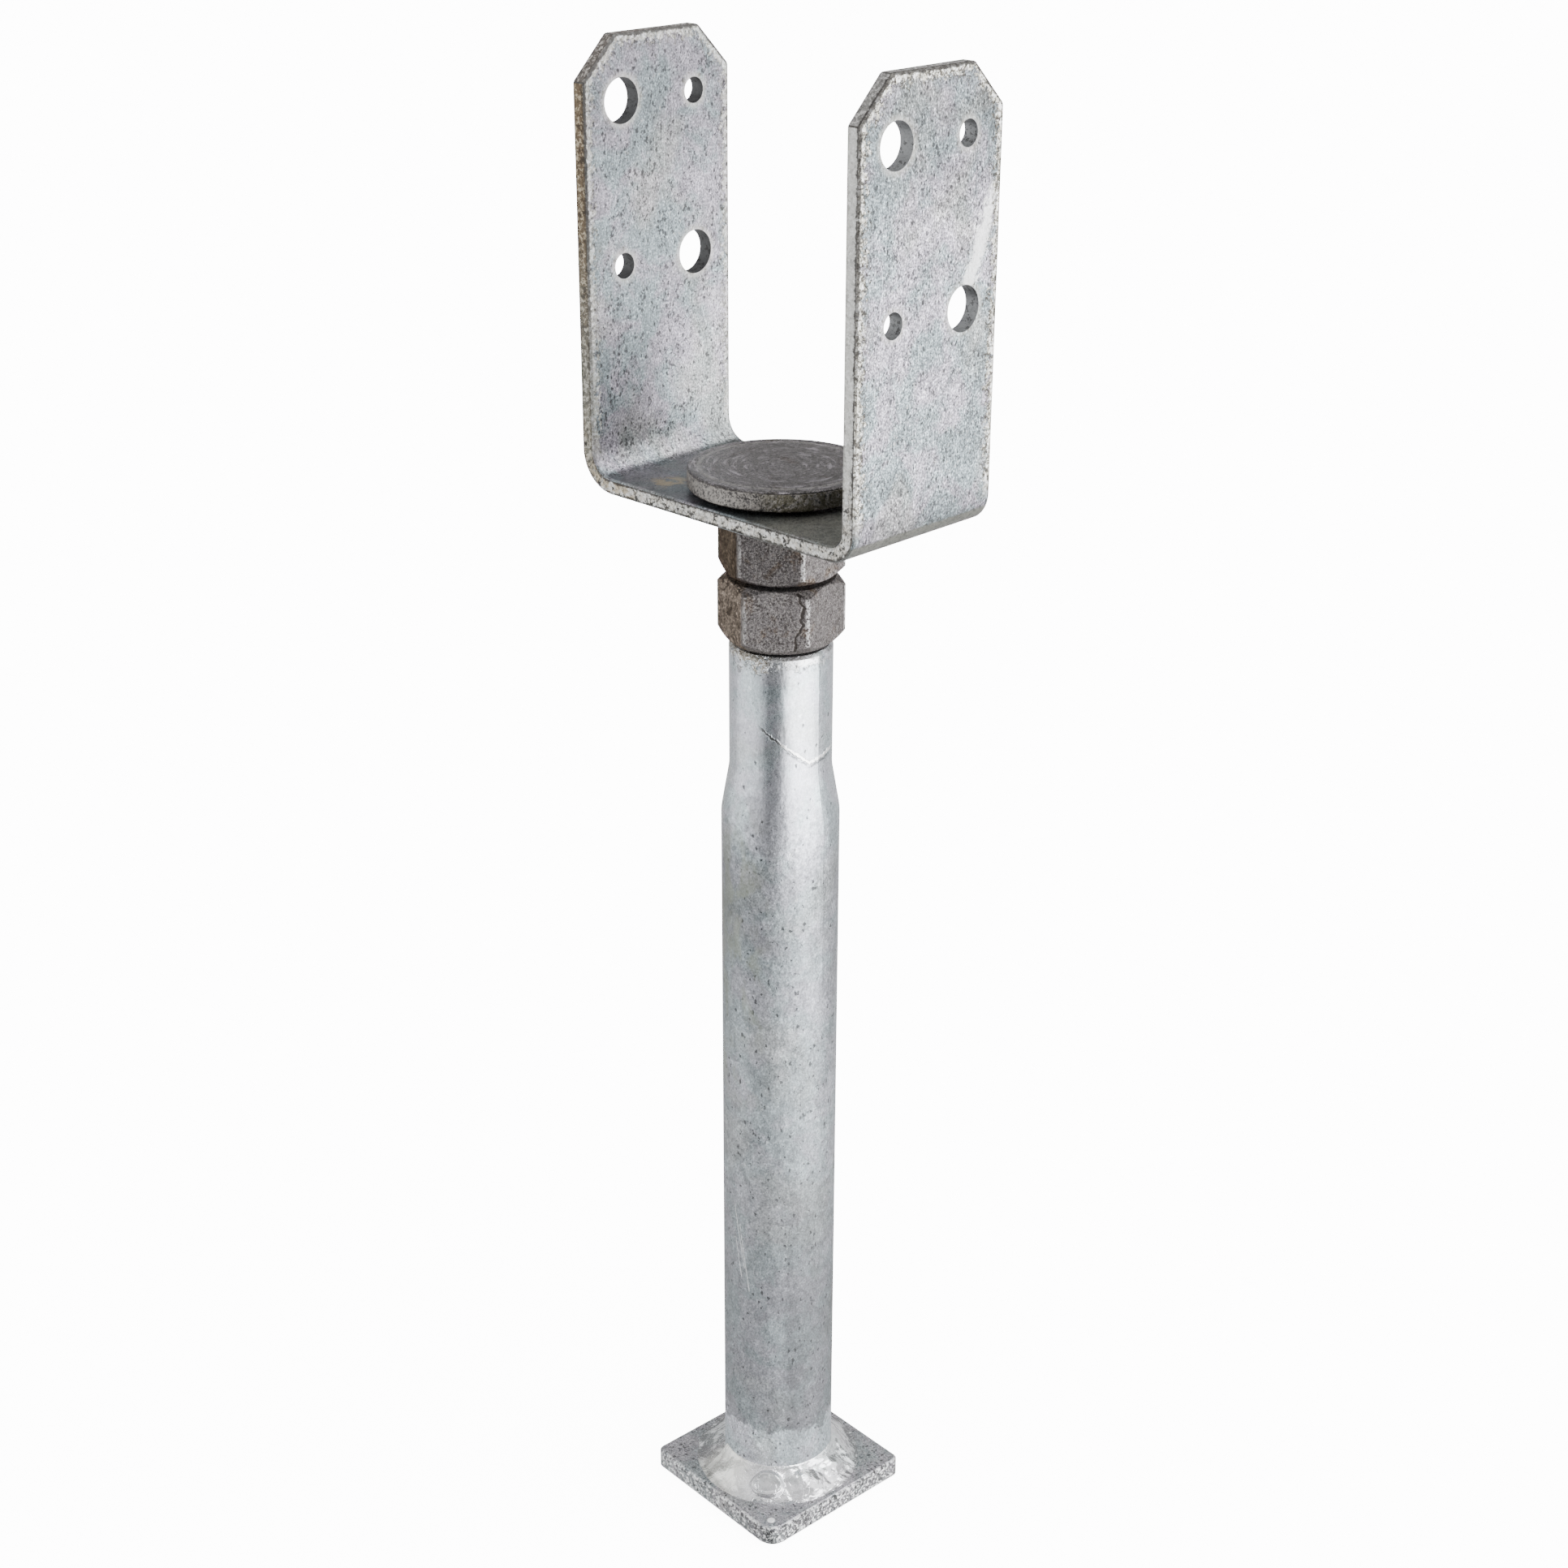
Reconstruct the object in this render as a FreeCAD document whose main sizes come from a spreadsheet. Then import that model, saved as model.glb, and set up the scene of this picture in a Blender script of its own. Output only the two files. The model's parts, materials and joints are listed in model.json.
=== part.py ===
import FreeCAD, Part
import os

import Sketcher

# Height-adjustable post base for timber posts, hot-dip galvanised, with its tube made to be cast into concrete.
# Frame: origin at the centre of the foot plate's underside, +Z up the tube, +X from the left ear of the fork
# to the right ear, +Y towards the back. Millimetres and degrees. Each piece is drawn in its own frame, about the
# tube's centre line, and is then set at its level.

# Driving dimensions: alias, value, what it measures
DIMENSIONS = (
    ("plate_side", 64.4, "side of the square foot plate"),
    ("plate_thickness", 8.0, "thickness of the foot plate"),
    ("plate_corner_radius", 3.0, "radius of three of the foot plate's upright corners"),
    ("plate_worn_corner_radius", 6.5, "radius of the front right corner, which is worn rounder"),
    ("plate_edge_bevel", 0.8, "bevel along the foot plate's upper and lower edges"),
    ("plate_turn", -4.0, "angle of the foot plate about the tube, as it was welded on"),
    ("drain_hole_diameter", 10.0, "hole under the tube that lets the molten zinc out"),
    ("tube_diameter", 39.6, "outside diameter of the tube"),
    ("tube_wall", 5.0, "wall of the tube below its neck"),
    ("tube_length", 325.0, "length of the tube, neck included"),
    ("neck_diameter", 34.1, "outside diameter of the neck that is swaged on the tube's upper end"),
    ("neck_length", 43.0, "straight length of the neck"),
    ("swage_length", 16.0, "length of the cone between neck and tube"),
    ("swage_radius", 14.0, "radius where the cone runs into neck and tube"),
    ("neck_rim_bevel", 1.0, "bevel on the neck's outer rim"),
    ("thread_diameter", 24.0, "major diameter of the spindle's coarse metric thread"),
    ("thread_clearance", 0.05, "radial clearance of the spindle in neck and lock nut"),
    ("thread_lead_in", 1.2, "countersink at the mouths of the threaded holes"),
    ("spindle_length", 192.0, "length of the spindle below its disc"),
    ("spindle_tip_chamfer", 2.0, "chamfer at the spindle's lower end"),
    ("disc_diameter", 60.0, "diameter of the disc that carries the post"),
    ("disc_thickness", 6.5, "thickness of the disc"),
    ("disc_edge_bevel", 0.7, "bevel on the disc's edges"),
    ("disc_gap", 1.7, "play between the disc and the fork's base"),
    ("nut_flats", 36.0, "width across the flats of both hexagons"),
    ("nut_height", 21.5, "height of both hexagons"),
    ("nut_upper_face", 35.4, "diameter of the round face on a hexagon's upper end"),
    ("nut_lower_face", 33.3, "diameter of the round face on the lock nut's lower end"),
    ("nut_chamfer_angle", 40.0, "slope of the hexagons' corner chamfers"),
    ("lock_nut_gap", 1.1, "gap between the tube and the lock nut"),
    ("lock_nut_turn", 38.7, "angle of the lock nut about the tube"),
    ("adjusting_nut_gap", 1.6, "gap between the lock nut and the adjusting nut"),
    ("adjusting_nut_turn", 33.6, "angle of the adjusting nut about the tube"),
    ("fork_inner_width", 108.6, "clear width between the fork's ears"),
    ("fork_width", 62.0, "width of the flat bar that the fork is bent from"),
    ("fork_thickness", 5.0, "thickness of the flat bar"),
    ("fork_height", 141.0, "height of the fork over its base's underside"),
    ("left_bend_radius", 8.0, "inside radius of the fork's left bend"),
    ("right_bend_radius", 5.0, "inside radius of the fork's right bend, which is pressed tighter"),
    ("ear_corner", 13.2, "length of the chamfers at the ears' upper corners"),
    ("fork_edge_bevel", 0.5, "bevel along the flat bar's sheared edges"),
    ("bolt_hole_diameter", 14.0, "diameter of the two bolt holes in each ear"),
    ("screw_hole_diameter", 8.0, "diameter of the two screw holes in each ear"),
    ("hole_spacing_across", 31.0, "distance between the hole centres across an ear"),
    ("hole_row_drop", 20.0, "distance from an ear's top to the upper row of holes"),
    ("hole_row_spacing", 51.0, "distance between the two rows of holes"),
    ("spindle_hole_diameter", 26.0, "hole in the fork's base that the spindle passes through"),
    ("weld_foot_leg", 10.3, "reach of the weld bead over the foot plate"),
    ("weld_tube_leg", 9.0, "reach of the weld bead up the tube"),
    ("weld_bulge", 0.9, "height of the weld bead's raised middle over a flat face"),
)

doc = FreeCAD.newDocument("post_base")
sheet = doc.addObject("Spreadsheet::Sheet", "dims")
sheet.Label = "driving dimensions"
for row, (alias, value, note) in enumerate(DIMENSIONS, start=1):
    sheet.set(f"A{row}", note)
    sheet.set(f"B{row}", str(value))
    sheet.setAlias(f"B{row}", alias)
doc.recompute()

# Levels along the tube, from the foot plate's underside upwards, each built on the one below it
TUBE_FOOT = "dims.plate_thickness"
TUBE_TOP = f"{TUBE_FOOT} + dims.tube_length"
LOCK_NUT_FOOT = f"{TUBE_TOP} + dims.lock_nut_gap"
ADJUSTING_NUT_FOOT = f"{LOCK_NUT_FOOT} + dims.nut_height + dims.adjusting_nut_gap"
FORK_FOOT = f"{ADJUSTING_NUT_FOOT} + dims.nut_height"
DISC_FOOT = f"{FORK_FOOT} + dims.fork_thickness + dims.disc_gap"

THREAD_BORE_RADIUS = "(dims.thread_diameter / 2 + dims.thread_clearance)"


# Bodies and sketches

def size(alias):
    """Value of one driving dimension."""
    return float(sheet.get(alias))


def add_body(name, level, turn="0"):
    """A new body that stands at a level above the origin and is turned about the tube's centre line."""
    body = doc.addObject("PartDesign::Body", name)
    body.Label = name
    turned = f"create(<<rotation>>; create(<<vector>>; 0; 0; 1); {turn})"
    body.setExpression("Placement", f"create(<<placement>>; create(<<vector>>; 0; 0; {level}); {turned})")
    return body


def add_sketch(body, name, plane_role):
    """A sketch on one of the body's own origin planes."""
    sketch = body.newObject("Sketcher::SketchObject", name)
    plane = [feature for feature in body.Origin.OriginFeatures if feature.Role == plane_role][0]
    sketch.AttachmentSupport = [(plane, "")]
    sketch.MapMode = "FlatFace"
    doc.recompute()
    return sketch


def number(sketch, expression):
    """What an expression on the driving dimensions comes to."""
    value = sketch.evalExpression(expression)
    return float(getattr(value, "Value", value))


def locate(sketch, element, vertex, across, upward):
    """Ties a vertex of a sketch to the origin, by expressions for its two coordinates."""
    for kind, axis, expression in (("DistanceX", -2, across), ("DistanceY", -1, upward)):
        value = number(sketch, expression)
        if abs(value) < 1e-9:
            sketch.addConstraint(Sketcher.Constraint("PointOnObject", element, vertex, axis))
        elif value > 0:
            index = sketch.addConstraint(Sketcher.Constraint(kind, -1, 1, element, vertex, value))
            sketch.setExpression(f"Constraints[{index}]", expression)
        else:
            index = sketch.addConstraint(Sketcher.Constraint(kind, element, vertex, -1, 1, -value))
            sketch.setExpression(f"Constraints[{index}]", f"-({expression})")


def draw_outline(sketch, corners):
    """A closed outline of straight lines through corners, each given as two expressions."""
    places = [FreeCAD.Vector(number(sketch, x), number(sketch, y), 0) for x, y in corners]
    first = sketch.GeometryCount
    count = len(corners)
    for index in range(count):
        sketch.addGeometry(Part.LineSegment(places[index], places[(index + 1) % count]), False)
    for index in range(count):
        following = first + (index + 1) % count
        sketch.addConstraint(Sketcher.Constraint("Coincident", first + index, 2, following, 1))
    for index, (across, upward) in enumerate(corners):
        locate(sketch, first + index, 1, across, upward)


def draw_circle(sketch, across, upward, diameter):
    """A circle with its centre and diameter given as expressions."""
    centre = FreeCAD.Vector(number(sketch, across), number(sketch, upward), 0)
    radius = number(sketch, diameter) / 2
    element = sketch.addGeometry(Part.Circle(centre, FreeCAD.Vector(0, 0, 1), radius), False)
    locate(sketch, element, 3, across, upward)
    index = sketch.addConstraint(Sketcher.Constraint("Diameter", element, 2 * radius))
    sketch.setExpression(f"Constraints[{index}]", diameter)


# Features

def pad(body, sketch, name, length, symmetric=False):
    """A straight extrusion of a sketch."""
    feature = body.newObject("PartDesign::Pad", name)
    feature.Profile = sketch
    feature.setExpression("Length", length)
    feature.Midplane = symmetric
    doc.recompute()
    return feature


def pocket_through(body, sketch, name):
    """A cut right through the body, both ways from its sketch."""
    before = body.Shape.Volume
    feature = body.newObject("PartDesign::Pocket", name)
    feature.Profile = sketch
    feature.Type = "ThroughAll"
    feature.Midplane = True
    doc.recompute()
    if feature.Shape.Volume >= before:
        raise RuntimeError(f"{name} cuts nothing")
    return feature


def turn_about_axis(body, sketch, name, kind="PartDesign::Revolution"):
    """A full revolution, or a groove, of a sketch about the tube's centre line."""
    feature = body.newObject(kind, name)
    feature.Profile = sketch
    feature.ReferenceAxis = (sketch, ["V_Axis"])
    feature.Angle = 360.0
    doc.recompute()
    return feature


def edges_where(feature, test):
    """Names of the feature's edges that pass a test."""
    names = [f"Edge{index}" for index, edge in enumerate(feature.Shape.Edges, start=1) if test(edge)]
    if not names:
        raise RuntimeError(f"{feature.Label} has no such edge")
    return names


def round_edges(body, base, name, radius, test):
    """A fillet along the edges that pass a test."""
    feature = body.newObject("PartDesign::Fillet", name)
    feature.Base = (base, edges_where(base, test))
    feature.setExpression("Radius", radius)
    doc.recompute()
    return feature


def bevel_edges(body, base, name, length, test):
    """An even chamfer along the edges that pass a test."""
    feature = body.newObject("PartDesign::Chamfer", name)
    feature.Base = (base, edges_where(base, test))
    feature.setExpression("Size", length)
    doc.recompute()
    return feature


def near(value, target):
    """Whether two lengths are the same."""
    return abs(value - target) < 1e-4


def is_ring(edge, radius, level):
    """Whether an edge is a circle about the centre line, of a radius and at a level of the body's own frame."""
    curve = edge.Curve
    if curve.TypeId != "Part::GeomCircle":
        return False
    return near(curve.Radius, radius) and near(curve.Center.z, level) and near(abs(curve.Axis.z), 1)


def ends_of_box(edge):
    """Lowest and highest corners of the box round an edge."""
    box = edge.BoundBox
    return (box.XMin, box.YMin, box.ZMin), (box.XMax, box.YMax, box.ZMax)


# Foot plate: cut from flat bar, its corners rounded, with a drain hole under the tube

def make_base_plate():
    body = add_body("base_plate", "0", "dims.plate_turn")
    sketch = add_sketch(body, "plate_outline", "XY_Plane")
    half = "dims.plate_side / 2"
    draw_outline(sketch, ((f"-{half}", f"-{half}"), (half, f"-{half}"), (half, half), (f"-{half}", half)))
    plate = pad(body, sketch, "plate_blank", "dims.plate_thickness")
    thickness = size("plate_thickness")
    half_side = size("plate_side") / 2

    def is_worn_corner(edge):
        start, end = ends_of_box(edge)
        upright = near(start[0], end[0]) and near(start[1], end[1])
        return upright and near(start[0], half_side) and near(start[1], -half_side)

    three_corners = round_edges(body, plate, "plate_corners", "dims.plate_corner_radius", lambda edge: (
        near(edge.BoundBox.ZLength, thickness) and not is_worn_corner(edge)))
    corners = round_edges(body, three_corners, "worn_corner", "dims.plate_worn_corner_radius", is_worn_corner)
    bevel_edges(body, corners, "plate_edges", "dims.plate_edge_bevel",
                lambda edge: edge.BoundBox.ZLength < thickness / 2)
    drain = add_sketch(body, "drain_hole_outline", "XY_Plane")
    draw_circle(drain, "0", "0", "dims.drain_hole_diameter")
    pocket_through(body, drain, "drain_hole")
    return body


# Tube: a thick-walled tube whose upper end is swaged to a threaded neck

def make_tube():
    body = add_body("tube", TUBE_FOOT)
    sketch = add_sketch(body, "tube_section", "XZ_Plane")
    outer = "dims.tube_diameter / 2"
    inner = "(dims.tube_diameter / 2 - dims.tube_wall)"
    neck = "dims.neck_diameter / 2"
    neck_foot = "(dims.tube_length - dims.neck_length)"
    swage_foot = "(dims.tube_length - dims.neck_length - dims.swage_length)"
    draw_outline(sketch, (
        (inner, "0"), (outer, "0"), (outer, swage_foot), (neck, neck_foot), (neck, "dims.tube_length"),
        (THREAD_BORE_RADIUS, "dims.tube_length"), (THREAD_BORE_RADIUS, neck_foot), (inner, swage_foot)))
    blank = turn_about_axis(body, sketch, "tube_blank")
    foot = number(body, TUBE_FOOT)
    top = size("tube_length")
    neck_level = top - size("neck_length")
    swage_level = neck_level - size("swage_length")
    tube_radius = size("tube_diameter") / 2
    neck_radius = size("neck_diameter") / 2
    bore_radius = number(body, THREAD_BORE_RADIUS)
    swage = round_edges(body, blank, "swage_rounding", "dims.swage_radius", lambda edge: (
        is_ring(edge, tube_radius, swage_level) or is_ring(edge, neck_radius, neck_level)))
    rim = bevel_edges(body, swage, "neck_rim", "dims.neck_rim_bevel", lambda edge: (
        is_ring(edge, neck_radius, top)))
    bevel_edges(body, rim, "neck_lead_in", "dims.thread_lead_in", lambda edge: is_ring(edge, bore_radius, top))
    return body


# Weld bead between tube and foot plate: a fillet whose face stands out a little in its middle

def make_weld_bead():
    body = add_body("weld_bead", TUBE_FOOT)
    sketch = add_sketch(body, "weld_section", "XZ_Plane")
    inner = "dims.tube_diameter / 2"
    slope = "atan(dims.weld_tube_leg / dims.weld_foot_leg)"
    middle_across = f"{inner} + dims.weld_foot_leg / 2 + dims.weld_bulge * sin({slope})"
    middle_upward = f"dims.weld_tube_leg / 2 + dims.weld_bulge * cos({slope})"
    draw_outline(sketch, (
        (inner, "0"), (f"{inner} + dims.weld_foot_leg", "0"), (middle_across, middle_upward),
        (inner, "dims.weld_tube_leg")))
    turn_about_axis(body, sketch, "weld_ring")
    return body


# Hexagons: a lock nut on the tube, and an adjusting nut that is fixed on the spindle under the fork

def make_nut(name, level, turn, lower_face):
    body = add_body(name, level, turn)
    sketch = add_sketch(body, f"{name}_hexagon", "XY_Plane")
    corner = "dims.nut_flats / 2 / cos(30)"
    draw_outline(sketch, [(f"{corner} * {cos_text}", f"{corner} * {sin_text}") for cos_text, sin_text in (
        ("1", "0"), ("0.5", "sin(60)"), ("-0.5", "sin(60)"), ("-1", "0"), ("-0.5", "-sin(60)"), ("0.5", "-sin(60)"))])
    blank = pad(body, sketch, f"{name}_blank", "dims.nut_height")
    height = "dims.nut_height"
    beyond = "dims.nut_flats * 0.6"
    upper = add_sketch(body, f"{name}_upper_chamfer_section", "XZ_Plane")
    rise = f"({beyond} - dims.nut_upper_face / 2) * tan(dims.nut_chamfer_angle)"
    draw_outline(upper, (("dims.nut_upper_face / 2", height), (beyond, height), (beyond, f"{height} - {rise}")))
    turn_about_axis(body, upper, f"{name}_upper_chamfer", "PartDesign::Groove")
    lower = add_sketch(body, f"{name}_lower_chamfer_section", "XZ_Plane")
    rise = f"({beyond} - {lower_face} / 2) * tan(dims.nut_chamfer_angle)"
    draw_outline(lower, ((f"{lower_face} / 2", "0"), (beyond, rise), (beyond, "0")))
    turn_about_axis(body, lower, f"{name}_lower_chamfer", "PartDesign::Groove")
    bore = add_sketch(body, f"{name}_bore_outline", "XY_Plane")
    draw_circle(bore, "0", "0", f"2 * {THREAD_BORE_RADIUS}")
    drilled = pocket_through(body, bore, f"{name}_bore")
    bore_radius = number(body, THREAD_BORE_RADIUS)
    bevel_edges(body, drilled, f"{name}_lead_in", "dims.thread_lead_in", lambda edge: (
        is_ring(edge, bore_radius, 0) or is_ring(edge, bore_radius, size("nut_height"))))
    return body


# Spindle: a threaded shank with a flat forged head, the disc that the post's end stands on

def make_spindle():
    body = add_body("spindle", DISC_FOOT)
    sketch = add_sketch(body, "spindle_section", "XZ_Plane")
    disc = "dims.disc_diameter / 2"
    shank = "dims.thread_diameter / 2"
    tip = f"({shank} - dims.spindle_tip_chamfer)"
    tip_top = "(dims.spindle_tip_chamfer - dims.spindle_length)"
    draw_outline(sketch, (
        ("0", "dims.disc_thickness"), ("0", "-dims.spindle_length"), (tip, "-dims.spindle_length"), (shank, tip_top),
        (shank, "0"), (disc, "0"), (disc, "dims.disc_thickness")))
    blank = turn_about_axis(body, sketch, "spindle_blank")
    radius = size("disc_diameter") / 2
    bevel_edges(body, blank, "disc_edges", "dims.disc_edge_bevel", lambda edge: (
        is_ring(edge, radius, 0) or is_ring(edge, radius, size("disc_thickness"))))
    return body


# Fork: flat bar bent to a U, with chamfered ears and the same four holes in each ear

def make_fork():
    body = add_body("fork", FORK_FOOT)
    sketch = add_sketch(body, "fork_section", "XZ_Plane")
    top = "dims.fork_height"
    floor = "dims.fork_thickness"
    inside = "dims.fork_inner_width / 2"
    outside = f"({inside} + dims.fork_thickness)"
    draw_outline(sketch, (
        (f"-{outside}", "0"), (outside, "0"), (outside, top), (inside, top),
        (inside, floor), (f"-{inside}", floor), (f"-{inside}", top), (f"-{outside}", top)))
    blank = pad(body, sketch, "fork_blank", "dims.fork_width", symmetric=True)
    half_width = size("fork_width") / 2

    def runs_along_bend(edge, bend_x, bend_z):
        start, end = ends_of_box(edge)
        crosswise = near(start[0], end[0]) and near(start[2], end[2])
        return crosswise and near(start[0], bend_x) and near(start[2], bend_z)

    bent = blank
    for side, sign in (("left", -1), ("right", 1)):
        radius = f"dims.{side}_bend_radius"
        inner_x = sign * number(body, inside)
        outer_x = sign * number(body, outside)
        bent = round_edges(body, bent, f"{side}_inner_bend", radius,
                           lambda edge: runs_along_bend(edge, inner_x, size("fork_thickness")))
        bent = round_edges(body, bent, f"{side}_outer_bend", f"{radius} + dims.fork_thickness",
                           lambda edge: runs_along_bend(edge, outer_x, 0))

    def is_ear_corner(edge):
        start, end = ends_of_box(edge)
        level = near(start[2], size("fork_height")) and near(end[2], size("fork_height"))
        return level and near(start[1], end[1]) and near(abs(start[1]), half_width)

    corners = bevel_edges(body, bent, "ear_corners", "dims.ear_corner", is_ear_corner)

    def is_sheared_edge(edge):
        start, end = ends_of_box(edge)
        in_side = near(start[1], end[1]) and near(abs(start[1]), half_width)
        above_sides = end[2] > size("fork_height") - size("ear_corner") + 1e-3
        return in_side or above_sides

    bevel_edges(body, corners, "sheared_edges", "dims.fork_edge_bevel", is_sheared_edge)
    holes = add_sketch(body, "ear_hole_outlines", "YZ_Plane")
    side = "dims.hole_spacing_across / 2"
    upper_row = "(dims.fork_height - dims.hole_row_drop)"
    lower_row = f"({upper_row} - dims.hole_row_spacing)"
    draw_circle(holes, f"-{side}", upper_row, "dims.bolt_hole_diameter")
    draw_circle(holes, side, lower_row, "dims.bolt_hole_diameter")
    draw_circle(holes, side, upper_row, "dims.screw_hole_diameter")
    draw_circle(holes, f"-{side}", lower_row, "dims.screw_hole_diameter")
    pocket_through(body, holes, "ear_holes")
    passage = add_sketch(body, "spindle_hole_outline", "XY_Plane")
    draw_circle(passage, "0", "0", "dims.spindle_hole_diameter")
    pocket_through(body, passage, "spindle_hole")
    return body


pieces = [
    make_base_plate(),
    make_tube(),
    make_weld_bead(),
    make_nut("lock_nut", LOCK_NUT_FOOT, "dims.lock_nut_turn", "dims.nut_lower_face"),
    make_nut("adjusting_nut", ADJUSTING_NUT_FOOT, "dims.adjusting_nut_turn", "dims.nut_upper_face"),
    make_spindle(),
    make_fork(),
]
doc.recompute()

# Test of every object before anything is written
for item in doc.Objects:
    if "Invalid" in item.State or "Error" in item.State:
        raise RuntimeError(f"{item.Label} failed: {item.State}")
for piece in pieces:
    if piece.Shape.isNull() or not piece.Shape.isValid() or len(piece.Shape.Solids) != 1:
        raise RuntimeError(f"{piece.Label} is not one valid solid")

os.makedirs("parts", exist_ok=True)
for piece in pieces:
    piece.Shape.exportStep(os.path.join("parts", f"{piece.Label}.step"))
    box = piece.Shape.BoundBox
    print(f"{piece.Label}: volume {piece.Shape.Volume:.0f} mm3, z {box.ZMin:.2f} to {box.ZMax:.2f}")
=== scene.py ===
import json
import math

import bmesh
import bpy
from bpy.props import FloatProperty, FloatVectorProperty, IntProperty, PointerProperty
from mathutils import Matrix, Vector, noise


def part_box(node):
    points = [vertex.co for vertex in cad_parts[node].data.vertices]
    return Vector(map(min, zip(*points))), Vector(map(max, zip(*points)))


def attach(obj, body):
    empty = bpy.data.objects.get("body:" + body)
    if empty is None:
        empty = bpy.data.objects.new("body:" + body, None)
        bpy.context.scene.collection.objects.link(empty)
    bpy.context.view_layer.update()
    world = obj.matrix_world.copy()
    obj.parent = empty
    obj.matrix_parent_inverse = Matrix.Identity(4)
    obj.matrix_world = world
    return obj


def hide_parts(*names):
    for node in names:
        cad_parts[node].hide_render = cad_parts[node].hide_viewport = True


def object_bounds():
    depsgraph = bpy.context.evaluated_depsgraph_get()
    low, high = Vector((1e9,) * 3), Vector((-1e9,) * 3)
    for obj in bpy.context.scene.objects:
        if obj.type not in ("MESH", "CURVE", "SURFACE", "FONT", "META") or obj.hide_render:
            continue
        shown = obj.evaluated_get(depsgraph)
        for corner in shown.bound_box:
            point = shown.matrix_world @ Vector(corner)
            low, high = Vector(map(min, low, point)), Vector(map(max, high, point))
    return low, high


# Height-adjustable post base: hot-dip galvanised fork, tube and foot plate, a dark threaded spindle with two
# dark hexagons, and the weld bead at the tube's foot. Metres; the object stands on its foot plate, +Z is up.

bl_info = {
    "name": "Timber post base",
    "version": (1, 0, 0),
    "blender": (4, 5, 0),
    "location": "View3D > Sidebar > Post base",
    "description": "Dresses the post base: thread, disc, weld bead, zinc and dark finishes, and a stage",
    "category": "Object",
}

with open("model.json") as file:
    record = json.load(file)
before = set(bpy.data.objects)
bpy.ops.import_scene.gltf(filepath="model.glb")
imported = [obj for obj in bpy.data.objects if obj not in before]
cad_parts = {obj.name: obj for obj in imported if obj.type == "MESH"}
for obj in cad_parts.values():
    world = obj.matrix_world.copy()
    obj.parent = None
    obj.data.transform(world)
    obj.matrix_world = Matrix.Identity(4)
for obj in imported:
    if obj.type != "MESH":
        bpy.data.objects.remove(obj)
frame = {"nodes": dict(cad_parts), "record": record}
CAD_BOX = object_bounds()

MM = 0.001
PLATE_LOW, PLATE_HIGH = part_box("base_plate")
TUBE_LOW, TUBE_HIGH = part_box("tube")
WELD_LOW, WELD_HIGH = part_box("weld_bead")
SPINDLE_LOW, SPINDLE_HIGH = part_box("spindle")
FORK_LOW, FORK_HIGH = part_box("fork")
MOUNTS = frame["record"]["mounts"]

# The fork's flat bar in millimetres: chamfer of its ears, thickness, inside radii of its two bends
EAR_CORNER = 13.2
BAR = 5.0
LEFT_BEND = 8.0
RIGHT_BEND = 5.0

# Marks of the real object in millimetres: on an ear as y and z, on a level face as x and y
WHITE_STREAK = ((18.0, 457.0), (28.5, 482.0))
BROWN_SCAR = ((27.5, 516.0), (29.0, 488.0))
# EAR_SHADE is the centre of a painted shade inside the left ear
EAR_SHADE = (-20.0, 408.0)
EAR_CURVE_CENTRE = (-42.7, 405.8)
EAR_CURVE_RADIUS = 64.3
OCHRE_STAIN = (-31.0, -19.0)
PLATE_DROPLET = (25.0, -29.4)
IVORY_PATCH = (-6.0, -25.0)

# Marks of the tube, as an angle about it in degrees and a level in millimetres
TUBE_SCRATCHES = (
    ((-98.0, 126.5), (-84.0, 101.0)),
    ((-96.0, 112.0), (-88.0, 97.0)),
    ((-90.0, 118.0), (-78.0, 92.0)),
)
DRIP_ANGLE = -12.0
DRIP_LEVEL = 294.6

# The round drop of zinc on the weld: its angle, reach from the tube's centre line, half width and half depth
WELD_DROP_TURN = math.radians(-55.0)
WELD_DROP_REACH = 24.2
WELD_DROP_HALF = (6.0, 3.3)

# Tints of small marks
WHITE = (1.0, 1.0, 1.0)
EDGE_DARK = (0.02, 0.018, 0.016)
SIDE_PIT = (0.03, 0.03, 0.03)
SIDE_CRACK = (0.02, 0.02, 0.02)
CRUST_SHADE = (0.62, 0.60, 0.52)
CRUST_BITS = (0.04, 0.035, 0.028)
# Painted shadow along the outline of the bar's faces
ARRIS_SHADOW = (0.03, 0.028, 0.026)
SCAR_BROWN = (0.13, 0.105, 0.075)
HALO = (0.62, 0.60, 0.54)
MOSS = (0.20, 0.215, 0.165)
IVORY = (0.80, 0.79, 0.72)
# Painted highlight on the hexagons' corners
CORNER_HIGHLIGHT = (0.66, 0.65, 0.65)
RING_GREY = (0.26, 0.24, 0.26)
RIM_GREY = (0.26, 0.25, 0.235)
DISC_SIDE_GRAINS = (0.30, 0.28, 0.255)
OLIVE_GRIME = (0.050, 0.045, 0.020)
GRAZING_BROWN = (0.42, 0.38, 0.34)

# Finish of each hexagon: shares of painted shade and of brown patches, tint of its left face, gain of the
# painted light on its right face, angles of its left face and of its seam in degrees
HEXAGONS = {
    "lock_nut": {"shade": 0.0, "brown_share": 0.02, "left_tint": (0.205, 0.172, 0.145), "right_painted_light": 0.08,
                 "left_angle": -114.5, "seam_angle": -24.5},
    "adjusting_nut": {"shade": 0.24, "brown_share": 0.08, "left_tint": (0.098, 0.080, 0.064),
                      "right_painted_light": 0.60, "left_angle": -120.0, "seam_angle": -90.0},
}

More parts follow.
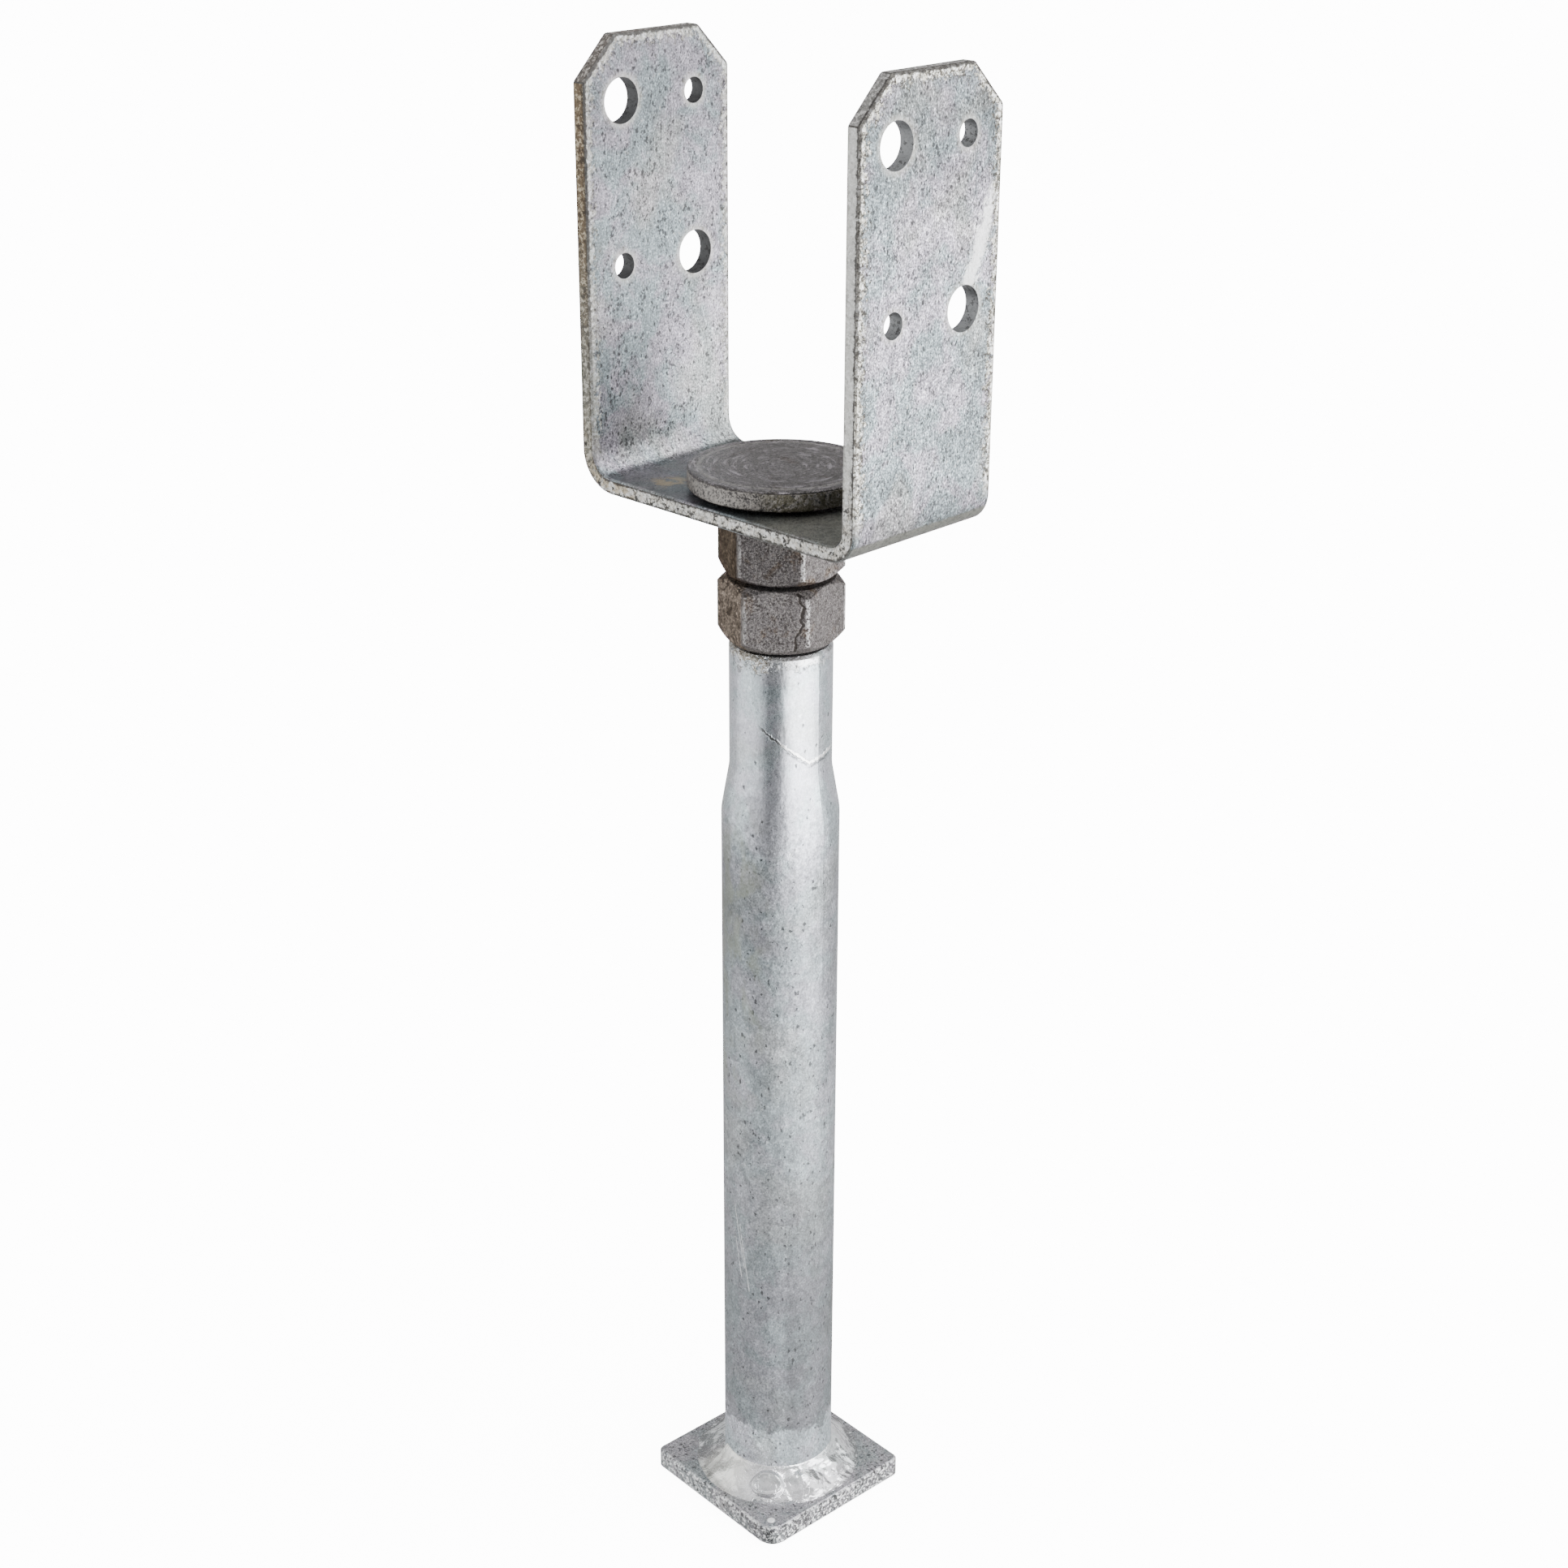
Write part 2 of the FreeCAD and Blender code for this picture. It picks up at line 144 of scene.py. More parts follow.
# Soft panels round the studio: angle to the right of the camera, half width and soft edge in degrees, lowest
# and highest level as the sine of the elevation, brightness
PANELS = (
    (50.0, 8.0, 44.0, -0.75, 0.20, 10.0),
    (100.0, 35.0, 20.0, 0.30, 0.80, 3.2),
    (128.0, 4.0, 38.0, -1.0, 0.25, 1.2),
    (-15.0, 10.0, 22.0, -1.0, 0.30, 0.20),
    (-80.0, 18.0, 25.0, -1.0, 0.60, 2.3),
    (180.0, 45.0, 25.0, 0.15, 0.65, 0.22),
    (65.0, 30.0, 20.0, 0.78, 0.95, 12.0),
)


# Sizes and colours that a user would change

def length(name, description, default):
    return FloatProperty(name=name, description=description, default=default, unit="LENGTH", precision=4)


def number(name, description, default, **limits):
    return FloatProperty(name=name, description=description, default=default, **limits)


def angle(name, description, degrees):
    return number(name, description, math.radians(degrees), subtype="ANGLE")


def count(name, description, default, least):
    return IntProperty(name=name, description=description, default=default, min=least)


def colour(name, description, default):
    return FloatVectorProperty(name=name, description=description, default=default, subtype="COLOR", size=3,
                               min=0.0, max=1.0)


class SpindleSizes(bpy.types.PropertyGroup):
    thread_diameter: length("Thread diameter", "Major diameter of the spindle's thread", 0.024)
    thread_pitch: length("Thread pitch", "Rise of the thread in one turn", 0.003)
    collar: length("Collar", "Plain length between the disc and the thread", 0.0015)
    tip_chamfer: length("Tip chamfer", "Chamfer at the spindle's lower end", 0.002)
    disc_thickness: length("Disc thickness", "Thickness of the disc at its rim", 0.0065)
    disc_rim: length("Disc rim radius", "Rounding of the disc's rim", 0.0009)
    ring_inset: length("Ring inset", "Distance of the faint forged ring from the disc's rim", 0.0034)
    ring_depth: length("Ring depth", "Depth of the faint forged ring", 0.00018)
    thread_steps: count("Thread steps", "Steps in one turn of the thread", 32, 12)
    disc_steps: count("Disc steps", "Steps round the disc", 128, 24)


class WeldSizes(bpy.types.PropertyGroup):
    lump: length("Lump", "Height of the uneven lumps of the weld", 0.0009)
    drop_radius: length("Drop radius", "Radius of the round drop of zinc on the weld", 0.0045)
    drop_height: length("Drop height", "Height of the round drop of zinc on the weld", 0.0013)
    low_share: number("Low share", "Height of the weld's thinner start, as a share", 0.62, min=0.2, max=1.0)
    steps: count("Steps", "Steps round the tube", 300, 48)
    rows: count("Rows", "Rows of faces between plate and tube", 28, 6)


class ZincColours(bpy.types.PropertyGroup):
    blue: colour("Blue grey", "Cool tint of the zinc", (0.415, 0.49, 0.525))
    lilac: colour("Lilac grey", "Neutral tint of the zinc", (0.47, 0.445, 0.51))
    warm: colour("Warm grey", "Beige tint of the zinc", (0.46, 0.46, 0.44))
    bright: colour("Bright zinc", "Fresh zinc on edges and drips", (0.82, 0.83, 0.83))
    pit: colour("Pits", "Small dark pits in the zinc", (0.04, 0.04, 0.04))
    brown: colour("Brown stain", "Rusty stain in the sheared edge", (0.115, 0.085, 0.052))
    tan: colour("Tan stain", "Light grains in the sheared edge", (0.42, 0.36, 0.26))
    ochre: colour("Ochre stain", "Rust run beside the disc", (0.25, 0.19, 0.10))
    wall: colour("Hole wall", "Dull zinc in the punched holes", (0.17, 0.175, 0.18))


class DarkSteelColours(bpy.types.PropertyGroup):
    grey: colour("Grey", "Dull zinc over forged steel", (0.094, 0.087, 0.088))
    brown: colour("Brown", "Brown patches of the forged steel", (0.068, 0.052, 0.041))
    light: colour("Light grains", "Light grains of thin zinc", (0.30, 0.285, 0.27))
    dark: colour("Dark grains", "Dark grains and flow lines", (0.018, 0.015, 0.013))


class StageSettings(bpy.types.PropertyGroup):
    floor: colour("Floor", "Pale floor", (0.93, 0.93, 0.93))
    camera_azimuth: angle("Camera azimuth", "Angle of the camera to the right of the front", 44.05)
    camera_pitch: angle("Camera pitch", "Angle by which the camera looks down", 23.71)
    camera_roll: angle("Camera roll", "Turn of the camera about its view", 0.22)
    camera_distance: length("Camera distance", "Distance of the camera from its target", 0.8479)
    target_height: length("Target height", "Height of the camera's target on the tube's centre line", 0.28195)
    focal_pixels: number("Focal length", "Focal length in pixels of the photograph", 3142.7)
    photo_pixels: number("Photograph", "Side of the photograph in pixels", 1932.0)
    shift_pixels: number("Shift", "Sideways shift of the photograph's centre, in pixels", 4.24)
    sky: number("Studio walls", "Brightness of the studio's plain walls", 0.95)
    ceiling: number("Ceiling", "Brightness of the studio's ceiling", 1.6)
    overhead: number("Overhead light", "Strength of the soft light from straight above", 2.5)
    floor_glow: number("Floor glow", "Light of the floor itself, as of a lit white table", 12.0)
    backdrop: number("Backdrop", "Brightness of the plain backdrop that only the camera sees", 13.3)


# Node helpers

class Graph:
    """Adds linked nodes to one node tree. A value is a number, a colour or another node's output."""

    def __init__(self, tree):
        self.tree = tree

    def put(self, socket, value):
        if isinstance(value, bpy.types.NodeSocket):
            self.tree.links.new(value, socket)
        elif socket.type == "RGBA" and len(value) == 3:
            socket.default_value = (*value, 1.0)
        else:
            socket.default_value = value

    def add(self, kind, inputs=(), **settings):
        node = self.tree.nodes.new(kind)
        for name, value in settings.items():
            setattr(node, name, value)
        for name, value in dict(inputs).items():
            self.put(node.inputs[name], value)
        return node

    def math(self, operation, *values):
        node = self.add("ShaderNodeMath", operation=operation)
        for socket, value in zip(node.inputs, values):
            self.put(socket, value)
        return node.outputs[0]

    def total(self, first, *rest):
        for value in rest:
            first = self.math("ADD", first, value)
        return first

    def product(self, first, *rest):
        for value in rest:
            first = self.math("MULTIPLY", first, value)
        return first

    def minus(self, first, second):
        return self.math("SUBTRACT", first, second)

    def linear(self, value, factor, offset):
        """A value times a factor, plus an offset."""
        return self.math("MULTIPLY_ADD", value, factor, offset)

    def absolute(self, value):
        return self.math("ABSOLUTE", value)

    def higher(self, first, second):
        return self.math("MAXIMUM", first, second)

    def lower(self, first, second):
        return self.math("MINIMUM", first, second)

    def hypot(self, first, second, *more):
        """Square root of the squares of two values, with any more terms added to them."""
        return self.math("SQRT", self.total(self.product(first, first), self.product(second, second), *more))

    def ramp(self, value, start, end, low=0.0, high=1.0):
        """A value between start and end, turned smoothly into one between low and high."""
        node = self.add("ShaderNodeMapRange", interpolation_type="SMOOTHSTEP", inputs={
            "Value": value, "From Min": start, "From Max": end, "To Min": low, "To Max": high})
        return node.outputs["Result"]

    def between(self, value, low, high, soft):
        """1 where a value lies between two limits, with soft ends."""
        rise = self.ramp(value, low - soft, low + soft)
        fall = self.ramp(value, high + soft, high - soft)
        return self.product(rise, fall)

    def mix(self, factor, first, second, blend="MIX"):
        node = self.add("ShaderNodeMix", data_type="RGBA", blend_type=blend, clamp_factor=True)
        self.put(node.inputs[0], factor)
        self.put(node.inputs[6], first)
        self.put(node.inputs[7], second)
        return node.outputs[2]

    def noise(self, vector, scale, detail=2.0, roughness=0.5, distortion=0.0):
        node = self.add("ShaderNodeTexNoise", inputs={
            "Vector": vector, "Scale": scale, "Detail": detail, "Roughness": roughness,
            "Distortion": distortion})
        return node.outputs["Fac"]

    def cell_borders(self, vector, scale):
        """Distance from the nearest border between cells."""
        return self.add("ShaderNodeTexVoronoi", feature="DISTANCE_TO_EDGE",
                        inputs={"Vector": vector, "Scale": scale}).outputs["Distance"]

    def stretched(self, vector, across, deep, upward, shift=0.0):
        node = self.add("ShaderNodeMapping", inputs={
            "Vector": vector, "Location": (shift, shift, shift), "Scale": (across, deep, upward)})
        return node.outputs["Vector"]

    def group(self, tree, **inputs):
        node = self.add("ShaderNodeGroup", node_tree=tree)
        for name, value in inputs.items():
            self.put(node.inputs[name.replace("_", " ").capitalize()], value)
        return node.outputs


def new_group(name, inputs, outputs):
    """An empty node group with its sockets: the tree, a Graph, what comes in and what goes out."""
    tree = bpy.data.node_groups.new(name, "ShaderNodeTree")
    kinds = {"value": "NodeSocketFloat", "vector": "NodeSocketVector", "colour": "NodeSocketColor"}
    for title, kind in inputs.items():
        tree.interface.new_socket(name=title, in_out="INPUT", socket_type=kinds[kind])
    for title, kind in outputs.items():
        tree.interface.new_socket(name=title, in_out="OUTPUT", socket_type=kinds[kind])
    graph = Graph(tree)
    return tree, graph, graph.add("NodeGroupInput").outputs, graph.add("NodeGroupOutput").inputs


def group_once(name, build):
    """A shared node group, built the first time that it is asked for."""
    return bpy.data.node_groups.get(name) or build(name)


# Shared effects

def build_zinc_mottle(name):
    """Skin of hot-dip zinc: clouds of three greys, blotches and grain. Vector in millimetres, Height too."""
    tree, graph, given, out = new_group(
        name,
        {"Vector": "vector", "Blue": "colour", "Lilac": "colour", "Warm": "colour", "Grain": "value"},
        {"Colour": "colour", "Roughness": "value", "Height": "value"})
    vector = given["Vector"]
    clouds = graph.noise(vector, 0.06, 4.0, 0.6, 0.5)
    drift = graph.noise(graph.stretched(vector, 1, 1, 1, 51.0), 0.035, 3.0, 0.5, 0.3)
    blotch = graph.noise(graph.stretched(vector, 1, 1, 0.8, 23.0), 0.22, 3.0, 0.62, 0.6)
    grain = graph.noise(graph.stretched(vector, 1, 1, 0.55), 0.95, 2.5, 0.7, 0.3)
    fine = graph.noise(graph.stretched(vector, 1, 1, 0.8, 9.0), 1.7, 1.5, 0.6, 0.0)
    tint = graph.mix(graph.ramp(clouds, 0.42, 0.58), given["Blue"], given["Lilac"])
    tint = tinted(graph, tint, given["Warm"], graph.ramp(drift, 0.50, 0.66, 0.0, 0.6))
    shade = graph.total(graph.linear(clouds, 1.0, -0.5), graph.linear(blotch, 0.9, -0.45),
                        graph.linear(grain, 1.7, -0.85), graph.linear(fine, 3.0, -1.5))
    factor = graph.math("EXPONENT", graph.product(shade, given["Grain"]))
    graph.put(out["Colour"], graph.mix(1.0, tint, factor, "MULTIPLY"))
    graph.put(out["Roughness"], graph.total(graph.product(clouds, 0.14), graph.product(grain, 0.16)))
    graph.put(out["Height"], graph.total(graph.product(blotch, 0.16), graph.product(grain, 0.045)))
    return tree


def warped(graph, vector, scale, reach):
    """A place in millimetres, pushed about by a noise of up to half the reach."""
    push = graph.add("ShaderNodeTexNoise", inputs={"Vector": vector, "Scale": scale, "Detail": 1.5})
    push = push.outputs["Color"]
    push = graph.add("ShaderNodeVectorMath", operation="SCALE", inputs={"Vector": push, "Scale": reach})
    both = graph.add("ShaderNodeVectorMath", operation="ADD", inputs={0: vector, 1: push.outputs["Vector"]})
    return both.outputs["Vector"]


def contour(graph, value, half_width):
    """1 along the line where a noise passes its middle value."""
    gap = graph.absolute(graph.minus(value, 0.5))
    return graph.ramp(gap, half_width, 0.3 * half_width)


def build_pits(name):
    """Small dark and light marks and curly lines, in patches. Millimetres; Size is a mark's half width."""
    tree, graph, given, out = new_group(
        name, {"Vector": "vector", "Size": "value", "Amount": "value"}, {"Dark": "value", "Light": "value"})
    bent = warped(graph, given["Vector"], 1.1, 1.4)
    patch = graph.noise(graph.stretched(given["Vector"], 1, 1, 0.6, 77.0), 0.13, 3.0, 0.7)
    room = graph.product(given["Amount"], graph.ramp(patch, 0.40, 0.60, 0.12, 1.0))
    found = {}
    for title, density, shift, upward in (("Dark", 0.95, 0.0, 0.62), ("Light", 0.75, 41.0, 0.8)):
        cell = graph.add("ShaderNodeTexVoronoi", feature="F1", inputs={
            "Vector": graph.stretched(bent, 1, 1, upward, shift), "Scale": density})
        chance = parts_of(graph, cell.outputs["Color"])
        reach = graph.product(given["Size"], density, graph.linear(chance[1], 0.9, 0.5))
        mark = graph.minus(1.0, graph.math("DIVIDE", cell.outputs["Distance"], reach))
        found[title] = graph.product(graph.ramp(mark, 0.0, 0.35), graph.math("LESS_THAN", chance[0], room))
    curls = contour(graph, graph.noise(graph.stretched(bent, 1, 1, 0.7, 19.0), 0.34, 2.5, 0.6, 0.8), 0.020)
    broken = graph.ramp(graph.noise(graph.stretched(bent, 1, 1, 1, 5.0), 0.8, 1.0), 0.47, 0.55)
    curls = graph.product(curls, broken, graph.ramp(room, 0.0, 0.25))
    graph.put(out["Dark"], graph.higher(found["Dark"], curls))
    graph.put(out["Light"], found["Light"])
    return tree


def build_speckle(name):
    """Coarse grains of two tones, as in a sheared edge, and cracks between lumps. Vector in millimetres."""
    tree, graph, given, out = new_group(
        name, {"Vector": "vector", "Scale": "value"},
        {"Light": "value", "Dark": "value", "Cracks": "value", "Height": "value"})
    grains = graph.noise(given["Vector"], given["Scale"], 3.0, 0.7, 0.5)
    shrunk = graph.stretched(given["Vector"], 0.4, 0.4, 0.4, 13.0)
    coarse = graph.noise(shrunk, given["Scale"], 3.0, 0.65, 0.6)
    lumps = graph.cell_borders(warped(graph, given["Vector"], 0.9, 2.2), graph.product(given["Scale"], 0.55))
    graph.put(out["Light"], graph.ramp(grains, 0.51, 0.60))
    both = graph.total(graph.product(grains, 0.55), graph.product(coarse, 0.45))
    graph.put(out["Dark"], graph.ramp(both, 0.465, 0.42))
    graph.put(out["Cracks"], graph.product(graph.ramp(lumps, 0.17, 0.05), graph.ramp(grains, 0.56, 0.47)))
    graph.put(out["Height"], graph.total(graph.product(grains, 0.6), graph.product(coarse, 0.4)))
    return tree


def zinc_mottle():
    return group_once("zinc mottle", build_zinc_mottle)


def pits():
    return group_once("zinc pits", build_pits)


def speckle():
    return group_once("speckle", build_speckle)


# Materials

def new_material(name, metallic):
    """A material with one shader: the material, its Graph, the shader and the place in millimetres."""
    material = bpy.data.materials.new(name)
    material.use_nodes = True
    graph = Graph(material.node_tree)
    shader = material.node_tree.nodes["Principled BSDF"]
    shader.inputs["Metallic"].default_value = metallic
    place = graph.add("ShaderNodeTexCoord").outputs["Object"]
    scaled = graph.add("ShaderNodeVectorMath", operation="SCALE", inputs={"Vector": place, "Scale": 1 / MM})
    return material, graph, shader, scaled.outputs["Vector"]


def finish_shader(graph, shader, tint, roughness, height):
    """Connects colour and roughness, and turns a height in millimetres into the shader's normal."""
    graph.put(shader.inputs["Base Color"], tint)
    graph.put(shader.inputs["Roughness"], roughness)
    node = graph.add("ShaderNodeBump", inputs={"Strength": 1.0, "Distance": MM, "Height": height})
    graph.put(shader.inputs["Normal"], node.outputs["Normal"])


def parts_of(graph, vector):
    """The three coordinates of a vector."""
    return graph.add("ShaderNodeSeparateXYZ", inputs={"Vector": vector}).outputs


def zinc_base(graph, vector, zinc, grain, mark_size, mark_amount):
    """Mottled zinc with dark and light specks: colour, roughness and height in millimetres."""
    mottle = graph.group(zinc_mottle(), vector=vector, blue=zinc.blue, lilac=zinc.lilac,
                         warm=zinc.warm, grain=grain)
    marks = graph.group(pits(), vector=vector, size=mark_size, amount=mark_amount)
    tint = graph.mix(graph.product(marks["Light"], 0.60), mottle["Colour"], zinc.bright)
    tint = tinted(graph, tint, zinc.pit, marks["Dark"], 0.80)
    height = graph.linear(marks["Dark"], -0.04, mottle["Height"])
    return tint, mottle["Roughness"], height


def tinted(graph, tint, other, *masks):
    """The colour, turned into another one by the product of some masks and shares."""
    return graph.mix(graph.product(*masks), tint, other)


def darker(graph, tint, share, *masks):
    """The colour, made darker by a share where the product of some masks is 1."""
    return graph.mix(1.0, tint, graph.linear(graph.product(*masks), -share, 1.0), "MULTIPLY")


def lighter(graph, tint, share, *masks):
    """The colour, made lighter by a share where the product of some masks is 1."""
    return darker(graph, tint, -share, *masks)


def greyer(graph, tint, saturation):
    """The colour with less of its hue."""
    node = graph.add("ShaderNodeHueSaturation", inputs={"Saturation": saturation, "Color": tint})
    return node.outputs["Color"]


def distance_to(graph, first, second, centre):
    """Distance in a plane from a centre."""
    across = graph.minus(first, centre[0])
    along = graph.minus(second, centre[1])
    return graph.hypot(across, along)


def oval_distance(graph, x, y, turn, reach, across, outward):
    """Distance from a point at a turn and reach round the tube, divided by a half width and a half depth."""
    along = graph.minus(graph.product(y, math.cos(turn)), graph.product(x, math.sin(turn)))
    out = graph.total(graph.product(x, math.cos(turn)), graph.product(y, math.sin(turn)), -reach)
    return graph.hypot(graph.product(along, 1 / across), graph.product(out, 1 / outward))


def segment_distance(graph, first, second, start, end):
    """Distance in a plane from the straight line between two points."""
    run = (end[0] - start[0], end[1] - start[1])
    square = run[0] ** 2 + run[1] ** 2
    along = graph.total(graph.product(graph.minus(first, start[0]), run[0] / square),
                        graph.product(graph.minus(second, start[1]), run[1] / square))
    along = graph.lower(graph.higher(along, 0.0), 1.0)
    gap_first = graph.minus(first, graph.linear(along, run[0], start[0]))
    gap_second = graph.minus(second, graph.linear(along, run[1], start[1]))
    return graph.hypot(gap_first, gap_second)


def fork_edge_tint(graph, zinc, x, y, z, grains, ragged, border):
    """Colour of the bar's sheared edges: brown on the left, pale on the right, spotted below, dark on top."""
    pale = graph.mix(graph.product(grains["Light"], 0.45), (0.50, 0.50, 0.48), zinc.bright)
    pale = tinted(graph, pale, zinc.pit, grains["Dark"], 0.3)
    olive = graph.mix(grains["Light"], (0.15, 0.145, 0.12), (0.40, 0.39, 0.35))
    olive = tinted(graph, olive, zinc.pit, grains["Dark"], 0.6)
    brown = graph.mix(graph.product(grains["Light"], 0.9), zinc.brown, zinc.tan)
    brown = tinted(graph, brown, (0.02, 0.015, 0.01), grains["Dark"], 0.7)
    on_left = graph.ramp(x, -50.0, -53.5)
    tint = graph.mix(on_left, pale, olive)
    upper = graph.ramp(graph.linear(ragged, 60.0, z), 440.0, 500.0)
    front_left = graph.product(on_left, graph.ramp(y, 0.0, -5.0))
    tint = tinted(graph, tint, brown, front_left, upper)
    cut_top = graph.ramp(z, FORK_HIGH.z / MM - EAR_CORNER - 0.3, FORK_HIGH.z / MM - EAR_CORNER + 0.6)
    granular = graph.mix(grains["Light"], (0.10, 0.095, 0.092), (0.36, 0.35, 0.34))
    granular = tinted(graph, granular, (0.03, 0.028, 0.025), grains["Dark"], 0.6)
    tint = tinted(graph, tint, granular, cut_top, 0.8)
    low = graph.ramp(z, 412.0, 392.0)
    patchy = graph.ramp(ragged, 0.44, 0.56)
    tint = tinted(graph, tint, EDGE_DARK, low, grains["Dark"], 0.9)
    tint = tinted(graph, tint, zinc.tan, low, patchy, graph.ramp(grains["Dark"], 0.6, 0.2), 0.35)
    near_bend = graph.product(graph.between(x, -55.0, -34.0, 4.0), graph.ramp(z, 392.0, 386.0))
    spots = graph.mix(grains["Dark"], zinc.tan, EDGE_DARK)
    tint = tinted(graph, tint, spots, near_bend, patchy, 0.85)
    tint = tinted(graph, tint, EDGE_DARK, low, grains["Cracks"], 0.45)
    inward = graph.product(graph.ramp(border, 0.0, -0.5), graph.ramp(x, 40.0, 52.0), 0.6)
    outline = graph.ramp(graph.linear(ragged, 3.0, graph.absolute(border)), 2.7, 3.3)
    outline = graph.product(outline, graph.minus(graph.ramp(x, -50.0, -54.0, 0.9, 0.55), inward))
    return tinted(graph, tint, EDGE_DARK, outline)


def bar_depth(graph, x, z):
    """Distance outwards from the middle of the bar's thickness, all along the bent bar."""
    on_right = graph.ramp(x, -1.0, 1.0)
    inner = graph.linear(on_right, RIGHT_BEND - LEFT_BEND, LEFT_BEND)
    past_ear = graph.minus(graph.total(graph.absolute(x), inner), FORK_HIGH.x / MM - BAR)
    past_base = graph.minus(graph.total(inner, FORK_LOW.z / MM + BAR), z)
    past_ear = graph.higher(past_ear, 0.0)
    past_base = graph.higher(past_base, 0.0)
    reach = graph.hypot(past_ear, past_base)
    return graph.minus(graph.minus(reach, inner), 0.5 * BAR)


def edge_inset(graph, y, z):
    """Distance on a face of the bar from its outline."""
    half_width = FORK_HIGH.y / MM
    top = FORK_HIGH.z / MM
    along = graph.total(graph.absolute(y), z)
    corner_inset = graph.product(graph.minus(half_width + top - EAR_CORNER, along), math.sqrt(0.5))
    inset = graph.minus(half_width, graph.absolute(y))
    inset = graph.lower(inset, graph.minus(top, z))
    return graph.lower(inset, corner_inset)


def fork_crust(graph, zinc, tint, x, z, inset, ragged, grains):
    """Broken pale crust and a painted shadow line along the outline of the bar's faces."""
    on_ear = graph.ramp(z, 386.0, 396.0)
    outside = graph.ramp(x, 53.0, 58.0, 0.45, 1.0)
    fringe = graph.ramp(graph.linear(ragged, 16.0, inset), 11.6, 10.0)
    fringe = graph.product(fringe, on_ear, outside)
    crust = graph.mix(grains["Light"], CRUST_SHADE, WHITE)
    tint = tinted(graph, tint, crust, fringe, 0.9)
    bits = graph.higher(grains["Cracks"], grains["Dark"])
    near = graph.product(graph.ramp(graph.linear(ragged, 16.0, inset), 13.2, 11.4), on_ear, outside)
    tint = tinted(graph, tint, CRUST_BITS, near, bits, 0.9)
    # A painted shadow line along the outline of each face
    line = graph.ramp(graph.linear(ragged, -2.6, inset), -0.10, -0.60)
    line = graph.product(line, graph.ramp(z, 395.0, 470.0, 0.5, 1.0))
    return tinted(graph, tint, ARRIS_SHADOW, line, 0.9), fringe


def ear_marks(graph, tint, x, y, z, ragged, grains):
    """A white streak and a brown scar on the right ear, a painted shade and a thin curve inside the left one.
    """
    on_right = graph.ramp(x, 50.0, 53.0)
    streak = graph.linear(ragged, 12.0, segment_distance(graph, y, z, *WHITE_STREAK))
    tint = tinted(graph, tint, WHITE, graph.ramp(streak, 10.0, 7.4), on_right, 0.75)
    scar = graph.linear(ragged, 16.0, segment_distance(graph, y, z, *BROWN_SCAR))
    scar = graph.product(graph.ramp(scar, 10.6, 8.6), graph.ramp(grains["Height"], 0.52, 0.46), on_right)
    tint = tinted(graph, tint, SCAR_BROWN, scar, 0.7)
    on_left = graph.ramp(x, -50.0, -53.0)
    # Painted shade inside the left ear, round EAR_SHADE
    shade = graph.ramp(distance_to(graph, y, z, EAR_SHADE), 34.0, 10.0)
    tint = darker(graph, tint, 0.30, shade, on_left)
    curve = graph.absolute(graph.minus(distance_to(graph, y, z, EAR_CURVE_CENTRE), EAR_CURVE_RADIUS))
    return darker(graph, tint, 0.22, graph.ramp(curve, 0.9, 0.3), graph.between(z, 408.0, 440.0, 6.0),
                  on_left)


def base_marks(graph, zinc, tint, place, x, y, z, inset, grains):
    """The fork's base: darkened on top by painted shade, olive to the right of the disc, and stained with
    rust to its left.
    """
    base_top = FORK_LOW.z / MM + BAR
    on_base = graph.ramp(z, base_top + 1.5, base_top + 0.3)
    # Painted shade over the base's top, round the disc
    tint = darker(graph, tint, 0.78, on_base, graph.ramp(inset, 0.5, 1.5))
    any_grain = graph.higher(grains["Dark"], grains["Light"])
    olive = graph.mix(any_grain, (0.22, 0.22, 0.19), (0.10, 0.10, 0.085))
    tint = tinted(graph, tint, olive, on_base, graph.ramp(x, 5.0, 28.0), 0.7)
    rusty = graph.ramp(graph.noise(place, 0.25, 3.0, 0.6, 0.8), 0.42, 0.6)
    beside_disc = graph.ramp(distance_to(graph, x, y, OCHRE_STAIN), 9.0, 2.0)
    return tinted(graph, tint, zinc.ochre, beside_disc, rusty, on_base, 0.7)


def hole_marks(graph, zinc, tint, x, y, z, ragged, grains):
    """Dull walls in the ears' punched holes, darker in the left ear with painted shade, and a pale halo round
    each.
    """
    wall = graph.mix(graph.product(grains["Dark"], 0.8), zinc.wall, zinc.pit)
    # Painted shade deep in the left ear's holes
    wall = darker(graph, wall, 0.72, graph.ramp(x, 10.0, -10.0))
    for mount in MOUNTS:
        if mount["kind"] == "bore":
            centre = (mount["pos_m"][1] / MM, mount["pos_m"][2] / MM)
            reach = mount["dims"]["r_mm"]
            gap = distance_to(graph, y, z, centre)
            halo = graph.ramp(graph.linear(ragged, 4.0, gap), reach + 4.6, reach + 1.6)
            tint = tinted(graph, tint, HALO, halo, 0.35)
            tint = tinted(graph, tint, wall, graph.ramp(gap, reach + 0.12, reach + 0.06))
    return tint


